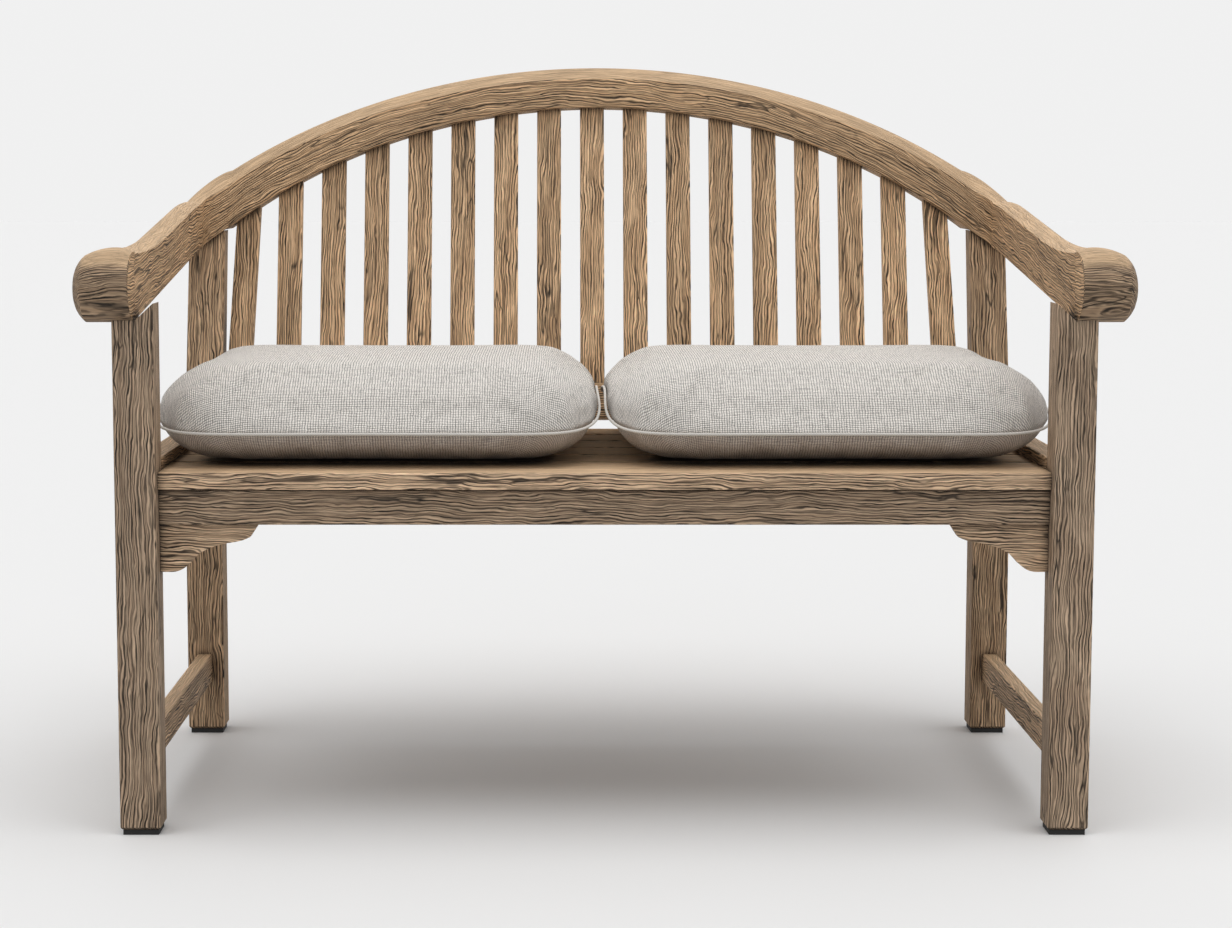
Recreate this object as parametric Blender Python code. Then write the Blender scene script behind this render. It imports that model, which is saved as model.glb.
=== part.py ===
# Wooden garden bench: an arched back rail that sweeps down into scrolled arms, seventeen back
# slats, a slatted seat between square legs, and two loose piped cushions.
# Metres, +Z up. The front faces -Y, left is -X and the foot pads stand on Z = 0.
# Depths among the named sizes are measured back from the front faces of the front legs.

import math

import bmesh
import bpy
from mathutils import Matrix, Vector

# Fits
GAP = 0.0003                  # left between touching pieces
OVERRUN = 0.002               # how far a cutter or a joined block runs past a face
WELD = 0.00001                # vertices closer than this are one
EASE = 0.0020                 # eased edges of the frame timber
SLAT_EASE = 0.0012            # eased edges of the slats

# Legs, posts and feet
LEG_SPREAD = 1.186            # over the outer faces of the legs
LEG_WIDTH = 0.050
LEG_DEPTH = 0.042
LEG_CHAMFER = 0.0035          # around the foot of legs and posts
CHEEK_RISE = 0.0225           # slope of the leg's top beside the arm
CHEEK_LIFT = 0.002            # its low edge above the underside of the arm
POST_SETBACK = 0.490          # front face of a leg to the front face of a post
POST_WIDTH = 0.052
POST_DEPTH = 0.043            # below the kink
POST_TOP_DEPTH = 0.030        # at its upper end
POST_RISE = 0.030             # uncut end of the post above the middle of its shoulder
KINK_DROP = 0.0263            # below the seat boards; the posts lean back above the kink
LEAN = math.radians(11.9)
PAD_THICKNESS = 0.006
PAD_INSET = 0.003
PAD_EASE = 0.001
SPIGOT_RADIUS = 0.005
SPIGOT_LENGTH = 0.014

# Seat
SEAT_HEIGHT = 0.4463          # top of the boards
BOARD_THICKNESS = 0.0213
FRONT_BOARD_DEPTH = 0.098
FRONT_BOARD_SETBACK = 0.014
SEAT_SLAT_COUNT = 5
SEAT_SLAT_SPACE = 0.010
SEAT_REAR_SPACE = 0.008       # last slat to the front face of the posts
APRON_HEIGHT = 0.0435
APRON_THICKNESS = 0.020
APRON_SETBACK = 0.020
REAR_RAIL_SETBACK = 0.006     # behind the front face of the posts
SIDE_RAIL_THICKNESS = 0.032
SIDE_RAIL_LIP = 0.015         # stands this much above the seat boards
CLEAT_THICKNESS = 0.020
CLEAT_HEIGHT = 0.022
BEARER_WIDTH = 0.030
BEARER_HEIGHT = 0.038

# Stretchers between leg and post
STRETCHER_WIDTH = 0.021
STRETCHER_HEIGHT = 0.040
STRETCHER_LIFT = 0.077        # floor to underside

# Corner brackets under the apron
BRACKET_LENGTH = 0.120
BRACKET_DROP = 0.0585
BRACKET_THICKNESS = 0.015
BRACKET_SETBACK = 0.005       # behind the face of the apron
BRACKET_OUTLINE_SHARES = (    # along the apron, down from it, and the kind of its handles
    (0.000, 0.000, "VECTOR"),
    (1.000, 0.000, "VECTOR"),
    (0.915, 0.265, "VECTOR"),
    (0.840, 0.330, "AUTO"),
    (0.580, 0.440, "AUTO"),
    (0.400, 0.610, "AUTO"),
    (0.250, 0.905, "AUTO"),
    (0.160, 0.990, "AUTO"),
    (0.050, 1.000, "VECTOR"),
    (0.000, 1.000, "VECTOR"),
)
BRACKET_DOWEL_SHARES = (("_outer", 0.22), ("_inner", 0.62))   # along the bracket

# Top rail: its lower edge is an arch in the leaning plane of the back
RAIL_HEIGHT = 0.0608          # square to the arch, at the middle of the bench
RAIL_GROWTH = 0.0194          # the rail deepens by this much over half the span of the arch
RAIL_THICKNESS = 0.042
RAIL_TIP = 0.003              # fall of its underside from front to rear
RAIL_CROWN = 0.018            # height of the rounded top above its edges
RAIL_LEAD = 0.005             # stands forward of the posts
RAIL_EASE = 0.0025            # eased lower edges of rail and arms
ARCH_HALF_SPAN = 0.789        # half axes of the ellipse that the lower edge follows
ARCH_RISE = 0.6733
ARCH_TOP = 0.4966             # kink to the crown of that edge, up the back

# Arms
ARM_INSET = 0.026             # inner face of the arm inside the outer face of the leg
ARM_RISE = 0.1817             # seat boards to the underside, at the front face of the leg
ARM_FALL_SHARE = 0.150        # drop of the arm for each metre forward
ARM_DEPTH = 0.0705            # upright, where the turn ends
ARM_CROWN = 0.006             # height of its rounded top above its inner edge
ARM_ROUND = 0.016             # and above its outer edge
ARM_STATION_SHARES = (0.04, 0.09, 0.2, 0.38, 0.56, 0.68, 0.78, 0.87, 0.94, 1.0)
TURN_RADIUS = 0.033           # inner radius of the sweep over the post
TURN_SQUARENESS = 3.0         # exponent of the outer corner, 2 is round
TURN_DROP = 0.010             # fall of its outer corner below the inner one
TURN_EASE_LENGTH = 0.080      # length over which the rail's slope eases into the arm's
FLARE_LENGTH = 0.195          # length behind the scroll in which the arm deepens
SCROLL_RADIUS = 0.0451
SCROLL_LEAD = 0.0291          # nose in front of the leg's face
SCROLL_DROP = 0.001           # its underside below the line of the arm
SCROLL_LENGTH = 0.0720        # along the seat
SCROLL_END_RADIUS = 0.0385
SCROLL_END_CROWN = 0.0140
SCROLL_TAPER_LENGTH = 0.036
SCROLL_END_SHARES = (0.93, 0.80, 0.55, 0.25)
JOINT_INSET = 0.009           # joint of arm and top rail, beside the post

# Back
SLAT_COUNT = 17
SLAT_PITCH = 0.0629
SLAT_SHIFT = 0.0071           # the row of slats stands this much left of the middle
SLAT_WIDTH = 0.0350
SLAT_THICKNESS = 0.013
END_SLAT_TOP = 0.5005         # centre of each outer slat at the rail, from the middle slat
END_SLAT_FOOT = 0.5121
SLAT_SEAT = 0.012             # length of slat inside each rail
LOWER_RAIL_LIFT = 0.040       # kink to the underside of the lower back rail, up the back
LOWER_RAIL_HEIGHT = 0.052
LOWER_RAIL_THICKNESS = 0.026

# Tenons and dowels
TENON_LENGTH = 0.025
TENON_THICKNESS = 0.010
TENON_SHOULDER = 0.005        # timber left above or below a tenon
SEAT_TENON_HEIGHT = 0.018     # low tenons of the cross rails
SIDE_TENON_HEIGHT = 0.040     # high tenons of the side rails
SIDE_TENON_THICKNESS = 0.018
SIDE_TENON_LENGTH = 0.017
STUB_TENON_LENGTH = 0.008
STRETCHER_TENON_HEIGHT = 0.028
LOWER_TENON_HEIGHT = 0.036
ARM_TENON_WIDTH = 0.016
ARM_TENON_DEPTH = 0.022
ARM_TENON_LENGTH = 0.034
POST_TENON_WIDTH = 0.026
POST_TENON_DEPTH = 0.014
POST_TENON_LENGTH = 0.024
DOWEL_SIDES = 10
BRACKET_DOWEL_RADIUS = 0.004
BRACKET_DOWEL_LENGTH = 0.024
ARM_DOWEL_RADIUS = 0.005
ARM_DOWEL_LENGTH = 0.036
ARM_DOWEL_SHARES = (("_lower", 0.40), ("_upper", 0.70))   # up the section at the joint

# Cushions
CUSHION_FRONT = 0.036         # front of the piping, behind the leg's face
CUSHION_REACH = 0.012         # back of the piping, behind the front face of the posts
CUSHION_CLEARANCE = 0.0015    # to the arm beside it, and to the middle of the bench
CUSHION_SEAM = 0.044          # seam above the seat boards, at the front and back
CUSHION_SEAM_RISE = 0.036     # further rise of the seam along either side
CUSHION_CROWN = 0.122         # top of the rounded edge above the seat boards
CUSHION_CENTRE_RISE = 0.004   # further rise to the middle
CUSHION_TOP_ROLL = 0.105      # width of the rounded edge above the seam
CUSHION_TOP_FULLNESS = 2.5
CUSHION_BASE_ROLL = 0.075
CUSHION_BASE_FULLNESS = 2.1
CUSHION_SIDE_FLATNESS = 0.9   # fullness lost where the seam has risen
CUSHION_SQUARENESS = 7.0      # exponent of the plan outline, 2 is an ellipse
CUSHION_SIDE_PULL = 0.003     # sides drawn in between the corners
CUSHION_RING_POINTS = 48
CUSHION_TOP_SHARES = (0.02, 0.08, 0.19, 0.35, 0.55, 0.78, 1.0)
CUSHION_BASE_SHARES = (0.05, 0.18, 0.40, 0.70, 1.0)
CUSHION_MIDDLE_SHARE = 0.5
CUSHION_LEVEL_SHARE = 0.55    # of the half width, over which the seam runs level
PIPING_RADIUS = 0.0021

# Colours and roughness
WOOD_COLOUR = (0.36, 0.235, 0.135)
WOOD_ROUGHNESS = 0.7
SLAT_TONE_SHARES = (
    0.90, 1.10, 0.96, 1.04, 0.88, 1.08, 1.00, 0.84, 1.06,
    1.10, 0.86, 0.92, 0.90, 1.04, 1.06, 0.92, 1.12,
)
FABRIC_COLOUR = (0.50, 0.46, 0.42)
PIPING_COLOUR = (0.66, 0.63, 0.58)
FABRIC_ROUGHNESS = 0.95
PAD_COLOUR = (0.02, 0.02, 0.02)
PAD_ROUGHNESS = 0.6

# Steps of the swept shapes
ARCH_STEPS = 14
TURN_STEPS = 8
CROWN_STEPS = 6
SCROLL_SIDES = 28
SCROLL_TAPER_STEPS = 3
OFFSET_ROUNDS = 12            # rounds that find the foot of a point on the upper edge

# Places worked out from the sizes above
LEG_OUTER = LEG_SPREAD / 2
LEG_INNER = LEG_OUTER - LEG_WIDTH
LEG_CENTRE = LEG_OUTER - LEG_WIDTH / 2
POST_INNER = LEG_OUTER - POST_WIDTH
POST_CENTRE = LEG_OUTER - POST_WIDTH / 2
KINK_HEIGHT = SEAT_HEIGHT - KINK_DROP
ARM_HEIGHT = SEAT_HEIGHT + ARM_RISE
FOOT = PAD_THICKNESS + GAP
BEARING = SEAT_HEIGHT - BOARD_THICKNESS - GAP
RAIL_BOTTOM = BEARING - APRON_HEIGHT
SIDE_RAIL_TOP = SEAT_HEIGHT + SIDE_RAIL_LIP
LIP_LEAN = (SIDE_RAIL_TOP - KINK_HEIGHT) * math.tan(LEAN)
ARM_INNER = LEG_OUTER - ARM_INSET
TURN_START = ARM_INNER - TURN_RADIUS
SCROLL_CENTRE = SCROLL_RADIUS - SCROLL_LEAD
SCROLL_BASE = ARM_HEIGHT + ARM_FALL_SHARE * SCROLL_CENTRE - SCROLL_DROP
JOINT = POST_INNER - JOINT_INSET
BACK_CENTRE = RAIL_THICKNESS / 2 - RAIL_LEAD
MIRRORED = ((-1, "left"), (1, "right"))
UPRIGHT = Vector((0, 0, 1))
OUTLINE_UP = Vector((0, 1, 0))
FACING_FRONT = (math.pi / 2, 0, 0)
FACING_SIDE = (math.pi / 2, 0, math.pi / 2)

bench = bpy.data.collections.new("garden_bench")
cutters = bpy.data.collections.new("cutters")


# Helpers

def clear_scene():
    for item in list(bpy.data.objects):
        bpy.data.objects.remove(item)
    for collection in (bench, cutters):
        bpy.context.scene.collection.children.link(collection)


def finish(item, colour, roughness, metallic=0.0):
    material = bpy.data.materials.new(item.name)
    material.use_nodes = True
    shader = material.node_tree.nodes["Principled BSDF"]
    shader.inputs["Base Color"].default_value = (*colour, 1.0)
    shader.inputs["Roughness"].default_value = roughness
    shader.inputs["Metallic"].default_value = metallic
    item.data.materials.clear()
    item.data.materials.append(material)
    return item


def wood(item, tone_share=1.0):
    return finish(item, [tone_share * channel for channel in WOOD_COLOUR], WOOD_ROUGHNESS)


def place(name, data, parent, helper=False):
    item = bpy.data.objects.new(name, data)
    (cutters if helper else bench).objects.link(item)
    item.parent = parent
    if helper:
        item.hide_render = True
        item.display_type = "WIRE"
    return item


def mesh_of(name, shape):
    mesh = bpy.data.meshes.new(name)
    shape.to_mesh(mesh)
    shape.free()
    return mesh


def block(name, low, high, parent, grow=0.0, helper=False):
    """A box between two corners, made about its own centre."""
    low = Vector(low)
    high = Vector(high)
    size = high - low + 2 * Vector((grow, grow, grow))
    shape = bmesh.new()
    bmesh.ops.create_cube(shape, size=1.0, matrix=Matrix.Diagonal(size).to_4x4())
    item = place(name, mesh_of(name, shape), parent, helper)
    item.location = (low + high) / 2
    return item


def bevel_edges(item, chosen_by, width, segments):
    """Bevel the edges of a piece that a test picks out."""
    shape = bmesh.new()
    shape.from_mesh(item.data)
    chosen = [edge for edge in shape.edges if chosen_by(edge)]
    bmesh.ops.bevel(
        shape, geom=chosen, offset=width, segments=segments, profile=0.5,
        affect="EDGES", material=-1,
    )
    shape.to_mesh(item.data)
    shape.free()


def ease_along(item, direction, width):
    """Round over the edges that run along one direction of the piece."""
    slack = math.cos(math.radians(15))

    def runs_along(edge):
        run = (edge.verts[1].co - edge.verts[0].co).normalized()
        return abs(run.dot(direction)) > slack

    bevel_edges(item, runs_along, width, 2)


def chamfer_foot(item):
    """Chamfer the edges around the lowest face of a leg or a post."""
    lowest = min(vertex.co.dot(OUTLINE_UP) for vertex in item.data.vertices)

    def at_foot(edge):
        return max(vertex.co.dot(OUTLINE_UP) for vertex in edge.verts) < lowest + WELD

    bevel_edges(item, at_foot, LEG_CHAMFER, 1)


def bar(name, low, high, parent, axis):
    """A squared timber with the edges along its length eased."""
    item = block(name, low, high, parent)
    direction = Vector((0, 0, 0))
    direction[axis] = 1
    ease_along(item, direction, EASE)
    return wood(item)


def converted(name, curve):
    """The mesh of a curve, with its caps welded on."""
    source = bpy.data.objects.new(name, curve)
    cutters.objects.link(source)
    evaluated = source.evaluated_get(bpy.context.evaluated_depsgraph_get())
    mesh = bpy.data.meshes.new_from_object(evaluated)
    bpy.data.objects.remove(source)
    shape = bmesh.new()
    shape.from_mesh(mesh)
    bmesh.ops.remove_doubles(shape, verts=shape.verts, dist=WELD)
    if curve.dimensions == "2D":
        flat = math.radians(0.5)
        bmesh.ops.dissolve_limit(shape, angle_limit=flat, verts=shape.verts, edges=shape.edges)
    bmesh.ops.recalc_face_normals(shape, faces=shape.faces)
    return mesh_of(name, shape)


def panel(name, outline, thickness, parent, location, rotation, helper=False):
    """A flat outline, of corners or of points with handles, filled and given its thickness."""
    curve = bpy.data.curves.new(name, "CURVE")
    curve.dimensions = "2D"
    curve.fill_mode = "BOTH"
    curve.extrude = thickness / 2
    curve.resolution_u = 4
    handled = len(outline[0]) > 2
    spline = curve.splines.new("BEZIER" if handled else "POLY")
    if handled:
        spline.bezier_points.add(len(outline) - 1)
        for point, (x, y, handle) in zip(spline.bezier_points, outline):
            point.co = (x, y, 0)
            point.handle_left_type = handle
            point.handle_right_type = handle
    else:
        spline.points.add(len(outline) - 1)
        for point, (x, y) in zip(spline.points, outline):
            point.co = (x, y, 0, 1)
    spline.use_cyclic_u = True
    item = place(name, converted(name, curve), parent, helper)
    item.location = location
    item.rotation_euler = rotation
    return item


def loft(name, rings, parent, helper=False):
    """A closed skin over unlike rings of points, with a flat cap on the first and the last."""
    shape = bmesh.new()
    loops = [[shape.verts.new(point) for point in ring] for ring in rings]
    for before, after in zip(loops, loops[1:]):
        count = len(before)
        for i in range(count):
            following = (i + 1) % count
            shape.faces.new((before[i], before[following], after[following]))
            shape.faces.new((before[i], after[following], after[i]))
    shape.faces.new(loops[0])
    shape.faces.new(loops[-1])
    bmesh.ops.recalc_face_normals(shape, faces=shape.faces)
    return place(name, mesh_of(name, shape), parent, helper)


def rod(name, radius, length):
    """The mesh of a dowel along Z about its middle."""
    shape = bmesh.new()
    bmesh.ops.create_cone(
        shape, cap_ends=True, segments=DOWEL_SIDES, radius1=radius, radius2=radius, depth=length,
    )
    return mesh_of(name, shape)


def combine(item, other, operation):
    modifier = item.modifiers.new(other.name, "BOOLEAN")
    modifier.operation = operation
    modifier.solver = "EXACT"
    modifier.object = other


def tenon(piece, mortised, low, high, parent):
    """A tenon joined to one piece, and its mortise cut in the other."""
    name = piece.name + "_in_" + mortised.name
    combine(piece, block(name + "_tenon", low, high, parent, helper=True), "UNION")
    mortise = block(name + "_mortise", low, high, parent, grow=GAP, helper=True)
    combine(mortised, mortise, "DIFFERENCE")


def dowel(name, matrix, radius, length, parent, pieces):
    """A dowel, and its hole in each piece that it joins."""
    peg = place(name, rod(name, radius, length), parent)
    peg.matrix_basis = matrix
    wood(peg)
    hole = place(name + "_hole", rod(name, radius + GAP, length + 2 * GAP), parent, helper=True)
    hole.matrix_basis = matrix
    for piece in pieces:
        combine(piece, hole, "DIFFERENCE")


def corners(side, x_pair, y_pair, z_pair):
    """Low and high corner of a box given on the right side and wanted on either."""
    across = sorted((side * x_pair[0], side * x_pair[1]))
    return (across[0], y_pair[0], z_pair[0]), (across[1], y_pair[1], z_pair[1])


def about(middle, width):
    return middle - width / 2, middle + width / 2


def soften(item, degrees):
    item.data.shade_smooth()
    item.data.set_sharp_from_angle(angle=math.radians(degrees))


# Arch, turn, arm and scroll

def back_point(x, up, depth):
    """A point of the leaning back: up the front face of the posts from the kink, and behind it."""
    return Vector((
        x,
        POST_SETBACK + up * math.sin(LEAN) + depth * math.cos(LEAN),
        KINK_HEIGHT + up * math.cos(LEAN) - depth * math.sin(LEAN),
    ))


def arch_height(x):
    """Height of the rail's lower edge up the back, from the kink."""
    return ARCH_TOP - ARCH_RISE * (1 - math.sqrt(1 - (x / ARCH_HALF_SPAN) ** 2))


def arch_fall(x):
    """Fall of the lower edge, down the back for each metre along the bench."""
    share = x / ARCH_HALF_SPAN
    return ARCH_RISE / ARCH_HALF_SPAN * share / math.sqrt(1 - share ** 2)


def rail_height(x):
    """Height of the rail square to the arch."""
    return RAIL_HEIGHT + RAIL_GROWTH * (x / ARCH_HALF_SPAN) ** 2


def rail_rise(x):
    """Rail measured up the back at x, where its upper edge runs square off the lower one."""
    foot = x
    for _ in range(OFFSET_ROUNDS):
        fall = arch_fall(foot)
        height = rail_height(foot)
        foot = x - height * fall / math.hypot(1, fall)
    return arch_height(foot) + height / math.hypot(1, fall) - arch_height(x)


def arm_underside(y):
    return ARM_HEIGHT + ARM_FALL_SHARE * y


def turn_height(start_height, start_fall, run):
    """Height of the lower edge in the turn, while its fall eases to the arm's."""
    spared = (start_fall - ARM_FALL_SHARE) * run ** 2 / (2 * TURN_EASE_LENGTH)
    return start_height - start_fall * run + spared


def arch_station(x, place_x):
    """Section of the arch: lower corners, up direction, height and the crown over either edge."""
    up = arch_height(x)
    rise = rail_rise(x)
    direction = Vector((0, math.sin(LEAN), math.cos(LEAN)))
    inner = back_point(place_x, up, -RAIL_LEAD)
    outer = inner + Vector((0, RAIL_THICKNESS, -RAIL_TIP))
    crown = RAIL_CROWN * rise / rail_height(x)
    return inner, outer, direction, rise, (crown, crown)


def turn_stations(start):
    """Sections that fan round from the leaning back to the arm."""
    inner_start, outer_start, leaning_up, start_rise, start_crowns = start
    start_fall = arch_fall(TURN_START) * math.cos(LEAN)
    turn_length = TURN_RADIUS * math.pi / 2
    centre_y = inner_start.y - TURN_RADIUS
    outer_depth = outer_start.y - centre_y
    stations = []
    for step in range(1, TURN_STEPS + 1):
        share = step / TURN_STEPS
        along = math.sin(share * math.pi / 2)
        behind = max(math.cos(share * math.pi / 2), 0)
        z = turn_height(inner_start.z, start_fall, share * turn_length)
        inner = Vector((TURN_START + TURN_RADIUS * along, centre_y + TURN_RADIUS * behind, z))
        outer = Vector((
            TURN_START + (TURN_RADIUS + RAIL_THICKNESS) * along ** (2 / TURN_SQUARENESS),
            centre_y + outer_depth * behind ** (2 / TURN_SQUARENESS),
            z - RAIL_TIP * (1 - share) - TURN_DROP * along,
        ))
        blend = share ** 2 * (3 - 2 * share)
        rise = start_rise + (ARM_DEPTH - start_rise) * blend
        crowns = [
            crown + (arm_crown - crown) * blend
            for crown, arm_crown in zip(start_crowns, (ARM_CROWN, ARM_ROUND))
        ]
        up = leaning_up.lerp(UPRIGHT, blend).normalized()
        stations.append((inner, outer, up, rise, crowns))
    return stations


def arm_stations(start):
    """Sections of the arm, forward from the turn into the middle of the scroll."""
    start_y = start[0].y
    lift = start[0].z - arm_underside(start_y)
    deepening = 2 * SCROLL_RADIUS - OVERRUN - ARM_DEPTH
    stations = []
    for share in ARM_STATION_SHARES:
        y = start_y + (SCROLL_CENTRE - start_y) * share
        eased = max(1 - (start_y - y) / TURN_EASE_LENGTH, 0) ** 2
        flare = max(1 - (y - SCROLL_CENTRE) / FLARE_LENGTH, 0) ** 2
        z = arm_underside(y) + lift * eased
        inner = Vector((ARM_INNER, y, z))
        outer = Vector((ARM_INNER + RAIL_THICKNESS, y, z - TURN_DROP * eased))
        rise = ARM_DEPTH + deepening * flare
        stations.append((inner, outer, UPRIGHT, rise, (ARM_CROWN, ARM_ROUND)))
    return stations


def section(station):
    """Ring of the rail's section: flat faces, eased lower edges and a crowned top."""
    inner, outer, up, rise, crowns = station
    across = (outer - inner).normalized()
    thickness = (outer - inner).length
    points = [(RAIL_EASE, 0), (0, RAIL_EASE)]
    for step in range(CROWN_STEPS + 1):
        share = step / CROWN_STEPS
        crown = crowns[0] if share < 1 / 2 else crowns[1]
        points.append((thickness * share, rise - crown * (2 * share - 1) ** 2))
    points += [(thickness, RAIL_EASE), (thickness - RAIL_EASE, 0)]
    return [inner + across * t + up * h for t, h in points]


def room_section(station):
    """Ring of the room that legs and posts leave for the arm above them."""
    inner, outer, up, rise, _ = station
    across = (outer - inner).normalized()
    near = (outer - inner).length
    far = near + RAIL_THICKNESS
    points = ((-GAP, -GAP), (-GAP, rise), (far, rise), (far, -GAP), (near, -GAP))
    return [inner + across * t + up * h for t, h in points]


def handed(side, rings):
    """Rings of the right side, flipped for the left."""
    if side > 0:
        return rings
    return [[Vector((-point.x, point.y, point.z)) for point in ring] for ring in rings]


def scroll_rings(grow=0.0):
    """Rings of the right scroll, from the flat inner end to the crowned outer end."""
    half = RAIL_THICKNESS / 2
    crown_steps = CROWN_STEPS // 2
    entries = []
    for step in range(crown_steps + 1):
        share = step / crown_steps
        entries.append((half * share, SCROLL_RADIUS, ARM_CROWN * (1 - share) ** 2))
    taper_end = SCROLL_LENGTH - SCROLL_END_CROWN
    taper_start = taper_end - SCROLL_TAPER_LENGTH
    narrowing = SCROLL_RADIUS - SCROLL_END_RADIUS
    for step in range(1, SCROLL_TAPER_STEPS + 1):
        share = step / SCROLL_TAPER_STEPS
        radius = SCROLL_RADIUS - narrowing * share ** 2
        entries.append((taper_start + SCROLL_TAPER_LENGTH * share, radius, 0))
    for share in SCROLL_END_SHARES:
        along = SCROLL_LENGTH - SCROLL_END_CROWN * share ** 3
        entries.append((along, SCROLL_END_RADIUS * share, 0))
    rings = []
    for along, radius, crown in entries:
        x = ARM_INNER + along + (grow if along > 0 else -grow)
        centre_z = SCROLL_BASE + max(radius, SCROLL_END_RADIUS)
        ring = []
        for step in range(SCROLL_SIDES):
            angle = math.tau * step / SCROLL_SIDES
            reach = radius + grow - crown * max(math.cos(angle), 0) ** 2
            y = SCROLL_CENTRE - reach * math.sin(angle)
            ring.append(Vector((x, y, centre_z + reach * math.cos(angle))))
        rings.append(ring)
    return rings


# Pieces

def make_top_rail(origin):
    arch = []
    for step in range(ARCH_STEPS):
        x = TURN_START * step / ARCH_STEPS
        arch.append(section(arch_station(x, x)))
    arch.append(section(arch_station(JOINT, JOINT - GAP / 2)))
    rail = wood(loft("top_rail", list(reversed(handed(-1, arch[1:]))) + arch, origin))
    soften(rail, 40)
    return rail


def arm_path():
    """Sections of the right arm, from its joint with the top rail to the scroll."""
    start = arch_station(TURN_START, TURN_START)
    turn = turn_stations(start)
    return [arch_station(JOINT, JOINT + GAP / 2), start] + turn + arm_stations(turn[-1])


def make_arms(origin, path):
    """The two arms, and the rooms that the legs and posts below leave for them."""
    arms = []
    rooms = []
    for side, name in MIRRORED:
        arm = loft("arm_" + name, handed(side, [section(station) for station in path]), origin)
        scroll = loft("scroll_" + name, handed(side, scroll_rings()), origin, helper=True)
        for piece in (arm, scroll):
            wood(piece)
            soften(piece, 40)
        combine(arm, scroll, "UNION")
        sweep = handed(side, [room_section(station) for station in path])
        room = loft("arm_room_" + name, sweep, origin, helper=True)
        around = loft("scroll_room_" + name, handed(side, scroll_rings(GAP)), origin, helper=True)
        combine(room, around, "UNION")
        arms.append(arm)
        rooms.append(room)
    return arms, rooms


def make_arm_dowels(back, top_rail, arms):
    """Two dowels across each joint of arm and top rail, along the slope of the arch."""
    fall = math.atan(arch_fall(JOINT))
    for (side, name), arm in zip(MIRRORED, arms):
        turn = Matrix.Rotation(side * (math.pi / 2 + fall), 4, "Y")
        for label, share in ARM_DOWEL_SHARES:
            up = arch_height(JOINT) + rail_rise(JOINT) * share
            matrix = Matrix.Translation((side * JOINT, BACK_CENTRE, up)) @ turn
            dowel(
                "arm_dowel_" + name + label, matrix, ARM_DOWEL_RADIUS, ARM_DOWEL_LENGTH,
                back, (top_rail, arm),
            )


def make_pad(name, x, y_pair, width, origin, leg):
    """A foot pad with a spigot, and the spigot's hole in the leg."""
    low_x, high_x = about(x, width - 2 * PAD_INSET)
    low = (low_x, y_pair[0] + PAD_INSET, 0)
    high = (high_x, y_pair[1] - PAD_INSET, PAD_THICKNESS)
    pad = block("foot_pad_" + name, low, high, origin)
    ease_along(pad, UPRIGHT, PAD_EASE)
    finish(pad, PAD_COLOUR, PAD_ROUGHNESS)
    joined = PAD_THICKNESS / 2
    middle_z = PAD_THICKNESS + (SPIGOT_LENGTH - joined) / 2
    for label, grow, target, operation in (
        ("spigot_", 0, pad, "UNION"),
        ("spigot_hole_", GAP, leg, "DIFFERENCE"),
    ):
        mesh = rod(label + name, SPIGOT_RADIUS + grow, SPIGOT_LENGTH + joined + 2 * grow)
        helper = place(label + name, mesh, origin, helper=True)
        helper.location = (x, sum(y_pair) / 2, middle_z)
        combine(target, helper, operation)


def make_legs(origin, arms, rooms):
    cheek_low = ARM_HEIGHT + CHEEK_LIFT
    uncut = SCROLL_BASE + SCROLL_RADIUS / 2
    legs = []
    for (side, name), arm, room in zip(MIRRORED, arms, rooms):
        outline = [
            (side * LEG_INNER, FOOT),
            (side * LEG_OUTER, FOOT),
            (side * LEG_OUTER, uncut),
            (side * ARM_INNER, uncut),
            (side * ARM_INNER, cheek_low),
            (side * LEG_INNER, cheek_low + CHEEK_RISE),
        ]
        middle = (0, LEG_DEPTH / 2, 0)
        leg = panel("front_leg_" + name, outline, LEG_DEPTH, origin, middle, FACING_FRONT)
        chamfer_foot(leg)
        ease_along(leg, OUTLINE_UP, EASE)
        wood(leg)
        combine(leg, room, "DIFFERENCE")
        low, high = corners(
            side,
            about((ARM_INNER + LEG_OUTER) / 2, ARM_TENON_WIDTH),
            about(LEG_DEPTH / 2, ARM_TENON_DEPTH),
            (ARM_HEIGHT - TENON_SHOULDER, ARM_HEIGHT + ARM_TENON_LENGTH),
        )
        tenon(leg, arm, low, high, origin)
        make_pad("front_" + name, side * LEG_CENTRE, (0, LEG_DEPTH), LEG_WIDTH, origin, leg)
        legs.append(leg)
    return legs


def post_outline(forward, top):
    """Side outline of a post in depth and height, moved forward for the room beside it."""
    points = (
        Vector((0, POST_SETBACK, FOOT)),
        Vector((0, POST_SETBACK, KINK_HEIGHT)),
        back_point(0, top, 0),
        back_point(0, top, POST_TOP_DEPTH),
        Vector((0, POST_SETBACK + POST_DEPTH, KINK_HEIGHT)),
        Vector((0, POST_SETBACK + POST_DEPTH, FOOT)),
    )
    return [(point.y - forward, point.z) for point in points]


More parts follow.
